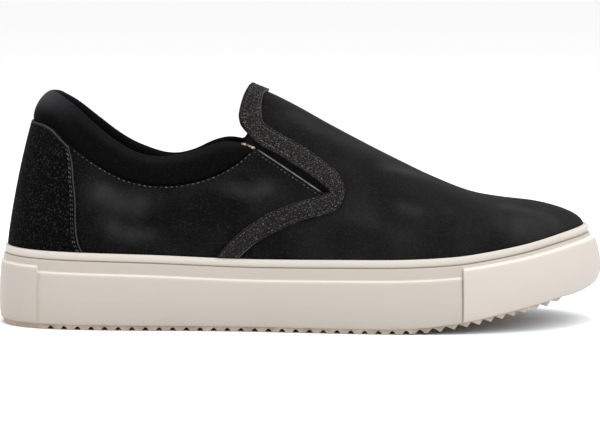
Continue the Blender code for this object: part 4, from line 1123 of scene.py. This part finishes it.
# %% The band round the throat
STRIP = (
    (0.4480, 1.200, 0.4225, 1.200), (0.4400, 0.9356, 0.4130, 0.9571),
    (0.4360, 0.8784, 0.4050, 0.8927), (0.4370, 0.8140, 0.4020, 0.8283),
    (0.4420, 0.7682, 0.4090, 0.7596), (0.4680, 0.7095, 0.4300, 0.6680),
    (0.5100, 0.6265, 0.4740, 0.5792), (0.5430, 0.5435, 0.5110, 0.4962),
    (0.5620, 0.4848, 0.5390, 0.4247), (0.5730, 0.4089, 0.5490, 0.3932),
    (0.5720, 0.3631, 0.5490, 0.3817), (0.5640, 0.3030, 0.5460, 0.3789),
    (0.5480, 0.2658, 0.5310, 0.3603), (0.5150, 0.2358, 0.4980, 0.3302),
    (0.4900, 0.2043, 0.4750, 0.3002), (0.4690, 0.1671, 0.4540, 0.2701),
    (0.4490, 0.1320, 0.4270, 0.2114), (0.4310, 0.0940, 0.4060, 0.1585),
    (0.4150, 0.0480, 0.3850, 0.0898), (0.4010, 0.000, 0.3640, 0.000),
)


def strip_edge(side, column):
    """Ways and rises of one edge: 1.2 stands for the ridge and 0 for the rim."""
    out = []
    for row in STRIP:
        x, z = side_view((row[column], row[column + 1]))
        if row[column + 1] > 1.1:
            out.append((float(find_way(lambda w: at(w, RIDGE_X), x + LENGTH / 2)), 1.0))
        elif row[column + 1] == 0.0:
            way = float(find_way(lambda w: at(w, feet[side][:, 0]), x + LENGTH / 2))
            out.append((way, float(rise_at(side, way, at(way, RIMS[side]) + CLEARANCE))))
        else:
            way, rise = place(side, x, z)
            out.append((float(way), float(rise)))
    return open_spline(out, 8)


across = np.array([0.0, 0.02, 0.06, 0.10, 0.13, 0.16, 0.19, 0.22, 0.28, 0.36, 0.45, 0.55,
                   0.64, 0.72, 0.78, 0.81, 0.84, 0.87, 0.90, 0.94, 0.98, 1.0])
STRIP_ROWS = (0.16, 0.84)
halves = {}
for side in (LATERAL, MEDIAL):
    outer, inner = strip_edge(side, 0), strip_edge(side, 2)
    ways = mix(outer[:, None, 0], inner[:, None, 0], across[None, :])
    rises = np.minimum(mix(outer[:, None, 1], inner[:, None, 1], across[None, :]), 1.0)
    halves[side] = skin(side, ways, rises)
strip = np.concatenate([halves[LATERAL][::-1], halves[MEDIAL][1:]], axis=0)
width = np.linalg.norm(strip[:, 0] - strip[:, -1], axis=1)
sink = trough(np.minimum(across, 1.0 - across), STRIP_ROWS[0], 0.05)[None, :] \
    + 0.0 * width[:, None]
from_top = np.abs(np.linspace(-1.0, 1.0, len(strip)))[:, None]
# Painted highlight along the band's outer cut edge, only where it is lit: near its top and at its
# feet
lit = np.clip(smooth(from_top, 0.33, 0.0) + smooth(from_top, 0.86, 0.97), 0.0, 1.0)
border = (1.0 - smooth(across[None, :] * width[:, None], 0.0, 0.0005)) * lit
throat_band, strip_face, strip_out = laid_on(
    "throat_band", strip, np.array([0.3, 0.0, 0.6]), sink, border, BAND_SUEDE)
print("band", strip.shape[:2], "points,", (width.mean() * 1000).round(1), "mm wide")

# %% [markdown]
# ## The elastic
#
# A woven elastic fills the slot on each side of the flap, a little behind the leather.
# Its fine cords run along the slot, so they are ridges of a grid and no mere bump.

# %% Finish of the elastic
elastic = Finish("black_elastic")
thread_noise = elastic.noise(1300.0, 2.0)
ELASTIC = elastic.set(
    Base_Color=elastic.ramp(thread_noise, [(0.35, (0.0042, 0.0042, 0.0044)),
                                           (0.8, (0.0145, 0.0145, 0.015))]),
    Roughness=0.75, Specular_IOR_Level=0.1, Normal=elastic.bump(thread_noise, 0.4, 0.0002))

# %% Two gores
ELASTIC_AXIS = ((0.4130, 0.6900), (0.4370, 0.6338), (0.4930, 0.5248), (0.5560, 0.3703))
ELASTIC_MARGIN, ELASTIC_THICKNESS, ELASTIC_GAP = 0.0050, 0.0012, 0.0005


def make_gore(name, side):
    axis = open_spline([side_view(row) for row in ELASTIC_AXIS], 24)
    ahead = np.gradient(axis, axis=0)
    ahead /= np.linalg.norm(ahead, axis=1)[:, None]
    offset = np.linspace(-1.0, 1.0, 65)
    cord = 0.5 - 0.5 * np.cos(offset * math.pi * 13.0)
    x = axis[:, None, 0] - ahead[:, None, 1] * offset * ELASTIC_MARGIN
    z = axis[:, None, 1] + ahead[:, None, 0] * offset * ELASTIC_MARGIN
    ways, rises = place(side, x, z)
    pts, out = skin(side, ways, rises), outward(side, ways, rises)
    deep = UPPER_WALL + ELASTIC_GAP
    face = pts - out * (deep + 0.0003 * (1.0 - cord))[..., None]
    back = pts - out * (deep + ELASTIC_THICKNESS)
    points, faces = sheet_between(face, back)
    return make_piece(name, points, faces, [ELASTIC], sharp=60)


elastic_outer = make_gore("elastic_outer", LATERAL)
elastic_inner = make_gore("elastic_inner", MEDIAL)
print("gores", len(elastic_outer.data.polygons), "faces each")

# %% [markdown]
# ## The padded collar
#
# Foam under a fine knit makes a soft roll round the opening.  A bent tube would look
# like a hose.  The roll is stitched down along the quarters, so its foot is pinned there
# and the rest is blown up a little as cloth under pressure.  What the simulation moves
# is capped, so the roll stays in the room that the frame keeps for it.

# %% Finish of the knit
knit = Finish("fine_knit")
along_roll = knit.add("ShaderNodeUVMap", uv_map="weave").outputs["UV"]
ribs = knit.add("ShaderNodeTexWave", wave_type="BANDS", bands_direction="X", Scale=300.0,
                Distortion=0.5)
ribs.inputs["Detail Scale"].default_value = 2.0
knit.join(along_roll, ribs.inputs["Vector"])
fuzz = knit.noise(1500.0, 2.0)
soft = knit.noise(55.0, 3.0)
# Painted highlight: the knit is lighter on the top of the roll near the heel and along its crest
pale = knit.math("MULTIPLY", knit.attribute("painted_roll_highlight"), knit.math("ADD", soft, 0.45), clamp=True)
yarn = knit.blend(pale, (0.0020, 0.0020, 0.0022), (0.045, 0.044, 0.049))
shaded = knit.blend(knit.math("MULTIPLY", ribs.outputs["Fac"], 0.45), yarn,
                    (0.0012, 0.0012, 0.0013))
flecked = knit.blend(knit.math("MULTIPLY", knit.math("SUBTRACT", fuzz, 0.5, clamp=True), 0.35),
                     shaded, (0.05, 0.05, 0.052))
KNIT = knit.set(Base_Color=flecked, Roughness=0.95, Sheen_Weight=0.022, Sheen_Roughness=0.35,
                Specular_IOR_Level=0.03,
                Normal=knit.bump(ribs.outputs["Fac"], 0.45, 0.0003,
                                 knit.bump(fuzz, 0.3, 0.0003)))

# %% Section of the collar
COLLAR_THICKNESS, HEEL_LEAN, HEEL_BULGE = 0.0074, 0.28, 0.22
# How far the roll sinks behind the counter's top edge, so that no light shows under it
SEAM_SINK = 0.0010
COLLAR_SECTION = (
    (0.00, 0.14), (0.14, -0.03), (0.38, -0.15), (0.64, -0.12), (0.84, 0.04), (0.96, 0.26),
    (1.00, 0.50), (0.95, 0.76), (0.80, 0.93), (0.50, 1.00), (0.20, 0.92), (0.00, 0.72),
)
# The roll has its full section where it is this high; at its ends it shrinks to a share
COLLAR_FULL_HEIGHT, COLLAR_END_SCALE = 0.012, 0.25
# Ways between which the heel's lean and sink fade, and the share of the length that the
# roll stops short of the quarter's end
HEEL_FADE, COLLAR_END_GAP = (0.02, 0.16), 0.003
# The roll starts slimmer by this share, and the pressure moves no point further than this
SLIMMED, SWELL_CAP = 0.94, 0.0007
# x, how much lower the crest lies on the inner side of the foot
INNER_DROP = (
    (0.225, 0.0), (0.240, 0.0002), (0.257, 0.0010), (0.277, 0.0023), (0.296, 0.0031),
    (0.316, 0.0029), (0.336, 0.0023), (0.360, 0.0014), (0.430, 0.0012),
)
section = np.array(COLLAR_SECTION)
fine = open_spline(section, 2)


def collar_rings(side, ways):
    foot_rise, top_rise = rise_on(side, ways, QUARTER_EDGE), rise_on(side, ways, COLLAR_CREST)
    behind = 1.0 - smooth(ways, *HEEL_FADE)
    low = skin(side, ways, foot_rise)[..., 2] + CLEARANCE - SEAM_SINK * behind
    high = skin(side, ways, top_rise)[..., 2]
    if side == MEDIAL:
        high = high - along(INNER_DROP, skin(side, ways, top_rise)[..., 0] / LENGTH + 0.5)
    scale = np.clip((high - low) / COLLAR_FULL_HEIGHT, COLLAR_END_SCALE, 1.0)
    z = low[:, None] + fine[None, :, 0] * (high - low)[:, None]
    w = np.repeat(ways[:, None], len(fine), axis=1)
    rise = rise_at(side, w, z)
    point, normal = skin(side, w, rise), outward(side, w, rise)
    inwards = -np.stack([normal[..., 0], normal[..., 1], 0.0 * normal[..., 2]], axis=-1)
    inwards /= np.linalg.norm(inwards, axis=-1, keepdims=True)
    lean = HEEL_LEAN * fine[None, :, 0] - HEEL_BULGE
    depth = fine[None, :, 1] + lean * behind[:, None]
    depth = depth * COLLAR_THICKNESS * scale[:, None]
    point = point + inwards * depth[..., None]
    point[..., 2] = z
    return point


front_ways = {}
for side in (LATERAL, MEDIAL):
    front_ways[side] = float(find_way(
        lambda w: skin(side, w, rise_on(side, w, QUARTER_EDGE))[..., 0],
        (QUARTER_EDGE[-1][0] - COLLAR_END_GAP - 0.5) * LENGTH))
STATIONS = 64
share = np.linspace(1.0, 0.0, STATIONS + 1)
roll = np.concatenate([collar_rings(LATERAL, share[:-1] * front_ways[LATERAL]),
                       collar_rings(MEDIAL, share[::-1] * front_ways[MEDIAL])])
heel = STATIONS
roll[heel] = (roll[heel - 1] + roll[heel + 1]) / 2.0 * 0.25 + roll[heel] * 0.75
middle = roll.mean(axis=1, keepdims=True)
rings_count, around = roll.shape[:2]
print("roll of", rings_count, "rings with", around, "points")


# %% Blow the roll up
def swollen(points, faces, pinned, cap):
    """The points after a short cloth simulation under pressure, moved at most by cap."""
    mesh = bpy.data.meshes.new("trial")
    mesh.from_pydata(points.tolist(), [], faces)
    trial = bpy.data.objects.new("trial", mesh)
    bpy.context.scene.collection.objects.link(trial)
    group = trial.vertex_groups.new(name="sewn")
    group.add(pinned, 1.0, "REPLACE")
    cloth = trial.modifiers.new("cloth", "CLOTH")
    settings = cloth.settings
    settings.quality = 6
    settings.mass = 0.3
    settings.tension_stiffness = settings.compression_stiffness = 12.0
    settings.bending_stiffness = 0.6
    settings.use_pressure, settings.uniform_pressure_force = True, 4.0
    settings.vertex_group_mass = "sewn"
    settings.effector_weights.gravity = 0.0
    cloth.point_cache.frame_start, cloth.point_cache.frame_end = 1, 20
    scene = bpy.context.scene
    for number in range(1, 21):
        scene.frame_set(number)
    depsgraph = bpy.context.evaluated_depsgraph_get()
    blown = np.array([v.co[:] for v in trial.evaluated_get(depsgraph).data.vertices])
    scene.frame_set(1)
    bpy.data.objects.remove(trial, do_unlink=True)
    step = blown - points
    size = np.linalg.norm(step, axis=1, keepdims=True)
    return points + step * np.minimum(1.0, cap / np.maximum(size, 1e-9))


small = middle + (roll - middle) * np.array([SLIMMED, SLIMMED, 1.0])
flat = small.reshape(-1, 3)
faces = grid_faces(rings_count, around, closed=True)
last = (rings_count - 1) * around
caps = [list(range(around)), [last + k for k in reversed(range(around))]]
foot_points = [0, around - 1]
pinned = [r * around + k for r in range(rings_count) for k in foot_points]
pinned += list(range(2 * around)) + list(range(last - around, last + around))
puffed = swollen(flat, faces + caps, sorted(set(pinned)), SWELL_CAP)
print("roll swelled by", (np.linalg.norm(puffed - flat, axis=1).max() * 1000).round(2), "mm")

# %% Sew the roll: UVs, painted highlights and the finished piece
puffed = puffed.reshape(rings_count, around, 3)
travel = np.concatenate([[0.0], np.cumsum(np.linalg.norm(
    np.diff(puffed[:, around // 2], axis=0), axis=1))])
up_share = fine[:, 0]
outer_side = np.where(np.arange(around) <= np.argmax(up_share), 1.0, 0.0)
# Painted highlight on the roll's top near the heel, mostly on its outer side, and a painted
# highlight line along the crest
hump = 1.0 - smooth(np.abs(np.arange(rings_count) - heel), 6, 26)
painted_roll_highlight = hump[:, None] * smooth(up_share, 0.25, 0.8)[None, :] * (0.25 + 0.75 * outer_side[None, :])
crest_line = np.exp(-((up_share - 0.9) / 0.14) ** 2) * (0.35 + 0.4 * outer_side)
painted_roll_highlight = np.clip(painted_roll_highlight * 0.85 + 0.16 * crest_line[None, :], 0.0, 1.0)
collar = make_piece("collar_knit", puffed, faces + caps, [KNIT], {"painted_roll_highlight": painted_roll_highlight})
weave = collar.data.uv_layers.new(name="weave")
girth = np.concatenate([[0.0], np.cumsum(np.linalg.norm(
    np.diff(puffed[heel], axis=0), axis=1))])
corner_points = np.empty(len(collar.data.loops), dtype=np.int32)
collar.data.loops.foreach_get("vertex_index", corner_points)
uv = np.stack([travel[corner_points // around], girth[corner_points % around]], axis=1)
weave.data.foreach_set("uv", uv.astype(np.float32).ravel())
smoother = collar.modifiers.new("smoother", "SUBSURF")
smoother.levels = smoother.render_levels = 2
print("collar", len(collar.data.polygons), "faces before smoothing")

# %% [markdown]
# ## Stitches
#
# Hundreds of stitches follow the seams.  Placing them one by one would be slow to change,
# so a Geometry Nodes tree does it: it walks along a seam line, sets a point at each
# stitch, and puts a small rounded thread there, turned along the seam.  Each line
# carries the skin's outward direction as an attribute, which the tree uses as "up".

# %% Finish of the thread
thread = Finish("sewing_thread")
twist = thread.noise(2200.0, 1.0)
THREAD = thread.set(Base_Color=thread.ramp(thread.noise(300.0, 2.0), [
    (0.42, (0.003, 0.003, 0.003)), (0.66, (0.075, 0.072, 0.070))]),
                    Roughness=0.6, Normal=thread.bump(twist, 0.4, 0.0002))


# %% The tree that sews
def sewing_tree():
    tree = bpy.data.node_groups.new("sew_along", "GeometryNodeTree")
    face = tree.interface
    face.new_socket("Seam", in_out="INPUT", socket_type="NodeSocketGeometry")
    for title, value in (("Pitch", 0.0026), ("Length", 0.0019), ("Thickness", 0.0005)):
        socket = face.new_socket(title, in_out="INPUT", socket_type="NodeSocketFloat")
        socket.default_value = value
    face.new_socket("Thread", in_out="INPUT", socket_type="NodeSocketMaterial")
    face.new_socket("Stitches", in_out="OUTPUT", socket_type="NodeSocketGeometry")

    def add(kind, **settings):
        node = tree.nodes.new(kind)
        for key, value in settings.items():
            setattr(node, key, value)
        return node

    def join(a, b):
        tree.links.new(a, b)

    given, result = add("NodeGroupInput"), add("NodeGroupOutput")
    to_curve = add("GeometryNodeMeshToCurve")
    resample = add("GeometryNodeResampleCurve", mode="LENGTH")
    outward_of = add("GeometryNodeInputNamedAttribute", data_type="FLOAT_VECTOR")
    outward_of.inputs["Name"].default_value = "outward"
    tangent = add("GeometryNodeInputTangent")
    lay = add("FunctionNodeAlignRotationToVector", axis="X")
    turn = add("FunctionNodeAlignRotationToVector", axis="Z", pivot_axis="X")
    ball = add("GeometryNodeMeshUVSphere")
    ball.inputs["Segments"].default_value = 8
    ball.inputs["Rings"].default_value = 6
    ball.inputs["Radius"].default_value = 0.5
    size = add("ShaderNodeCombineXYZ")
    shape = add("GeometryNodeTransform")
    instance = add("GeometryNodeInstanceOnPoints")
    realize = add("GeometryNodeRealizeInstances")
    paint = add("GeometryNodeSetMaterial")
    join(given.outputs["Seam"], to_curve.inputs["Mesh"])
    join(to_curve.outputs["Curve"], resample.inputs["Curve"])
    join(given.outputs["Pitch"], resample.inputs["Length"])
    join(tangent.outputs["Tangent"], lay.inputs["Vector"])
    join(lay.outputs["Rotation"], turn.inputs["Rotation"])
    join(outward_of.outputs["Attribute"], turn.inputs["Vector"])
    join(given.outputs["Length"], size.inputs["X"])
    join(given.outputs["Thickness"], size.inputs["Y"])
    join(given.outputs["Thickness"], size.inputs["Z"])
    join(ball.outputs["Mesh"], shape.inputs["Geometry"])
    join(size.outputs["Vector"], shape.inputs["Scale"])
    join(resample.outputs["Curve"], instance.inputs["Points"])
    join(shape.outputs["Geometry"], instance.inputs["Instance"])
    join(turn.outputs["Rotation"], instance.inputs["Rotation"])
    join(instance.outputs["Instances"], realize.inputs["Geometry"])
    join(realize.outputs["Geometry"], paint.inputs["Geometry"])
    join(given.outputs["Thread"], paint.inputs["Material"])
    join(paint.outputs["Geometry"], result.inputs["Stitches"])
    return tree


SEW = sewing_tree()
sew_inputs = {item.name: item.identifier for item in SEW.interface.items_tree
              if item.in_out == "INPUT"}
print("the sewing tree takes", ", ".join(sew_inputs))


# %% Sew along lines
def sewn(name, lines, pitch, length, thickness, material):
    """One mesh of stitches along all the lines, each line being points and normals."""
    points, edges, normals = [], [], []
    for line, normal in lines:
        first = len(points)
        points += line.tolist()
        normals += normal.tolist()
        edges += [(first + k, first + k + 1) for k in range(len(line) - 1)]
    mesh = bpy.data.meshes.new(name + "_line")
    mesh.from_pydata(points, edges, [])
    layer = mesh.attributes.new("outward", "FLOAT_VECTOR", "POINT")
    layer.data.foreach_set("vector", np.array(normals, dtype=np.float32).ravel())
    guide = bpy.data.objects.new(name + "_line", mesh)
    bpy.context.scene.collection.objects.link(guide)
    sew = guide.modifiers.new("sew", "NODES")
    sew.node_group = SEW
    for title, value in (("Pitch", pitch), ("Length", length), ("Thickness", thickness),
                         ("Thread", material)):
        sew[sew_inputs[title]] = value
    depsgraph = bpy.context.evaluated_depsgraph_get()
    done = bpy.data.meshes.new_from_object(guide.evaluated_get(depsgraph))
    bpy.data.objects.remove(guide, do_unlink=True)
    done.name = name
    done.shade_smooth()
    piece = bpy.data.objects.new(name, done)
    bpy.context.scene.collection.objects.link(piece)
    return piece


# %% Rows of stitches on the overlays
def grid_column(face, normal, column, lift):
    return face[:, column] + normal[:, column] * lift, normal[:, column]


LIFT = 0.00015
# A ball of 8 segments and 6 rings
STITCH_FACES = 48
counter_lines = []
for row in COUNTER_ROWS:
    column = int(np.argmin(np.abs(from_front - row)))
    for c in (column, counter_face.shape[1] - 1 - column):
        counter_lines.append(grid_column(counter_face[1:-1], counter_out[1:-1], c, LIFT))
stitches_counter = sewn("stitches_counter", counter_lines, 0.0022, 0.0014, 0.0005, THREAD)
band_lines = []
for share_across in STRIP_ROWS:
    column = int(np.argmin(np.abs(across - share_across)))
    band_lines.append(grid_column(strip_face[2:-2], strip_out[2:-2], column, LIFT))
stitches_band = sewn("stitches_band", band_lines, 0.0022, 0.0014, 0.0005, THREAD)
print("stitches:", len(stitches_counter.data.polygons) // STITCH_FACES, "on the counter,",
      len(stitches_band.data.polygons) // STITCH_FACES, "on the band")


# %% Rows of stitches on the quarters
def on_skin(side, ways, rises, lift):
    pts, normal = skin(side, ways, rises), outward(side, ways, rises)
    return pts + normal * (pressed(pts, CREASES) + lift)[:, None], normal


front_lines, seam_lines = [], []
for side in (LATERAL, MEDIAL):
    front = open_spline([side_view(row) for row in QUARTER_FRONT], 14)
    ahead = np.gradient(front, axis=0)
    ahead /= np.linalg.norm(ahead, axis=1)[:, None]
    below = front + np.stack([ahead[:, 1], -ahead[:, 0]], axis=1) * 0.0018
    if below[:, 1].mean() > front[:, 1].mean():
        below = front - (below - front)
    ways, rises = place(side, below[:, 0], below[:, 1])
    front_lines.append(on_skin(side, ways, rises, LIFT))
    seam_x = np.linspace(0.060, QUARTER_EDGE[-1][0] - 0.006, 160)
    seam_z = along(QUARTER_EDGE, seam_x) * collar_height(seam_x) - 0.0005
    ways, rises = place(side, (seam_x - 0.5) * LENGTH, seam_z)
    keep = skin(side, ways, rises)[:, 0] > (0.130 - 0.5) * LENGTH
    seam_lines.append(on_skin(side, ways[keep], rises[keep], LIFT))
stitches_front = sewn("stitches_front", front_lines, 0.0022, 0.0013, 0.0004, THREAD)
stitches_seam = sewn("stitches_seam", seam_lines, 0.0026, 0.0013, 0.0006, THREAD)
print("stitches:", len(stitches_front.data.polygons) // STITCH_FACES, "on the fronts,",
      len(stitches_seam.data.polygons) // STITCH_FACES, "under the collar")

# %% [markdown]
# ## Raw edges
#
# The quarter's front edge is cut raw and shows as a thin light line, and at the ends of
# the collar the pale lining peeps out.  A brighter colour on the skin's own rim would
# light every edge, so these few are thin rods laid where the photograph shows them.

# %% Finish of the raw edges
raw_edge = Finish("raw_edge")
RAW_EDGE = raw_edge.set(Roughness=0.9, Specular_IOR_Level=0.1, Base_Color=raw_edge.ramp(
    raw_edge.noise(300.0), [(0.35, (0.075, 0.072, 0.069)), (0.7, (0.17, 0.165, 0.155))]))
pale_lining = Finish("pale_lining")
PALE = pale_lining.set(Roughness=0.85, Specular_IOR_Level=0.1, Base_Color=pale_lining.ramp(
    pale_lining.noise(700.0), [(0.40, (0.06, 0.045, 0.03)), (0.60, (0.55, 0.48, 0.38))]))


# %% Rods along lines
def rods(name, lines, radius, material):
    """Thin rods of eight sides, pointed at both ends."""
    points, faces = [], []
    for line in lines:
        ahead = np.gradient(line, axis=0)
        ahead /= np.linalg.norm(ahead, axis=1)[:, None]
        aside = np.cross(ahead, [0.0, 0.0, 1.0])
        aside /= np.linalg.norm(aside, axis=1)[:, None]
        above = np.cross(aside, ahead)
        share = np.linspace(0.0, 1.0, len(line))
        slim = np.sqrt(np.clip(np.minimum(share, 1.0 - share) * 12.0, 0.02, 1.0)) * radius
        turn = np.arange(8) * math.pi / 4.0
        ring = (line[:, None] + slim[:, None, None] * (
            np.cos(turn)[None, :, None] * aside[:, None] + np.sin(turn)[None, :, None]
            * above[:, None]))
        first = sum(len(part) for part in points)
        faces += grid_faces(len(line), 8, first, closed=True)
        faces += [[first + k for k in range(8)],
                  [first + (len(line) - 1) * 8 + k for k in reversed(range(8))]]
        points.append(ring.reshape(-1, 3))
    return make_piece(name, np.concatenate(points), faces, [material])


front_edges, lining_ends = [], []
for side in (LATERAL, MEDIAL):
    front = open_spline([side_view(row) for row in QUARTER_FRONT], 20)
    ways, rises = place(side, front[1:, 0], front[1:, 1])
    front_edges.append(skin(side, ways, rises) + outward(side, ways, rises) * 0.00005)
    x_share = np.linspace(0.4045, 0.4275, 24)
    crest = along(COLLAR_CREST, x_share) * collar_height(x_share)
    ways, rises = place(side, (x_share - 0.5) * LENGTH, crest)
    drop = along(INNER_DROP, x_share) if side == MEDIAL else 0.0 * x_share
    edge = skin(side, ways, rises) - outward(side, ways, rises) * 0.0012
    edge[:, 2] -= drop - 0.0003
    lining_ends.append(edge)
quarter_edges = rods("quarter_edges", front_edges, 0.00034, RAW_EDGE)
collar_ends = rods("collar_ends", lining_ends, 0.00065, PALE)
print("raw edges:", len(quarter_edges.data.polygons), "and",
      len(collar_ends.data.polygons), "faces")

# %% [markdown]
# ## Floor, light and camera
#
# The photograph shows the shoe on white, under soft light from all round, with a faint
# cool shadow under its toe and heel.  A white world and a pale floor give that, with a
# painted shadow tint: the floor is painted bluer round the toe, where the shadow falls.
# Two large lamps above give the leather its gentle highlights.  The lens is long,
# because the photograph's perspective is flat.

# %% Floor and light
floor_paint = Finish("pale_floor")
# Painted shadow tint: the floor is bluer round the toe, which shows only where the shoe's shadow
# falls
far_off = floor_paint.add("ShaderNodeVectorMath", operation="DISTANCE")
floor_paint.join(floor_paint.where(), far_off.inputs[0])
far_off.inputs[1].default_value = (0.08, -0.02, 0.0)
painted_shadow_tint = floor_paint.ramp(far_off.outputs["Value"], [(0.10, (0.88, 0.93, 0.97)),
                                                   (0.26, (0.955, 0.955, 0.96))], "EASE")
FLOOR = floor_paint.set(Base_Color=painted_shadow_tint, Roughness=0.8, Specular_IOR_Level=0.1)
floor = make_piece("floor", [(-6, -3, 0), (6, -3, 0), (6, 12, 0), (-6, 12, 0)], [[0, 1, 2, 3]],
                   [FLOOR])
world = bpy.data.worlds.new("studio")
world.use_nodes = True
world.node_tree.nodes["Background"].inputs["Color"].default_value = (0.985, 0.985, 0.99, 1.0)
world.node_tree.nodes["Background"].inputs["Strength"].default_value = 1.0
bpy.context.scene.world = world


def lamp(name, place_at, aim, size, power, colour=(1.0, 1.0, 1.0)):
    light = bpy.data.lights.new(name, "AREA")
    light.shape, light.size, light.size_y = "RECTANGLE", size[0], size[1]
    light.energy, light.color = power, colour
    holder = bpy.data.objects.new(name, light)
    bpy.context.scene.collection.objects.link(holder)
    away = np.array(place_at) - np.array(aim)
    holder.location = place_at
    flat_run = math.hypot(away[0], away[1])
    holder.rotation_euler = (math.atan2(flat_run, away[2]), 0.0,
                             math.atan2(away[0], -away[1]))
    return holder


lamp("overhead", (0.0, -0.15, 1.3), (0.0, 0.0, 0.05), (1.6, 1.2), 16.0)
lamp("key", (0.7, -0.9, 0.9), (0.0, 0.0, 0.05), (0.8, 0.8), 5.0)
bpy.context.scene.view_settings.view_transform = "Standard"
bpy.context.scene.view_settings.look = "None"

# %% Camera
AIM = (0.00015, 0.00125, 0.0551)
DISTANCE, ELEVATION = 1.5, math.radians(6.0)
camera_data = bpy.data.cameras.new("camera")
camera_data.lens, camera_data.sensor_width = 179.7, 36.0
camera_data.clip_start, camera_data.clip_end = 0.05, 60.0
camera = bpy.data.objects.new("camera", camera_data)
camera.location = (AIM[0], AIM[1] - DISTANCE * math.cos(ELEVATION),
                   AIM[2] + DISTANCE * math.sin(ELEVATION))
camera.rotation_euler = (math.pi / 2.0 - ELEVATION, 0.0, 0.0)
bpy.context.scene.collection.objects.link(camera)
bpy.context.scene.camera = camera
print("camera", DISTANCE, "m away, lens", camera_data.lens, "mm")

# %% [markdown]
# ## Back to the frame
#
# Every piece rides on the shoe's one body and stands for the CAD nodes that it covers.

# %% Hand the pieces over
STANDS_FOR = (
    (cup_wall, "cup_rubber", ("cupsole",)), (tread, "outsole_rubber", ("outsole",)),
    (footbed, "footbed_foam", ("insole",)), (shell, "upper_nubuck", ("upper",)),
    (heel_counter, "overlay_suede", ("heel_counter",)),
    (throat_band, "overlay_suede", ("throat_strip",)),
    (elastic_outer, "elastic_web", ("gore_lateral",)),
    (elastic_inner, "elastic_web", ("gore_medial",)), (collar, "collar_knit", ("collar",)),
    (stitches_counter, "overlay_suede", ()), (stitches_band, "overlay_suede", ()),
    (stitches_front, "upper_nubuck", ()), (stitches_seam, "collar_knit", ()),
    (quarter_edges, "upper_nubuck", ()), (collar_ends, "collar_knit", ()),
)
for piece, slot, nodes in STANDS_FOR:
    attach(piece, "root")
    if nodes:
        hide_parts(*nodes)
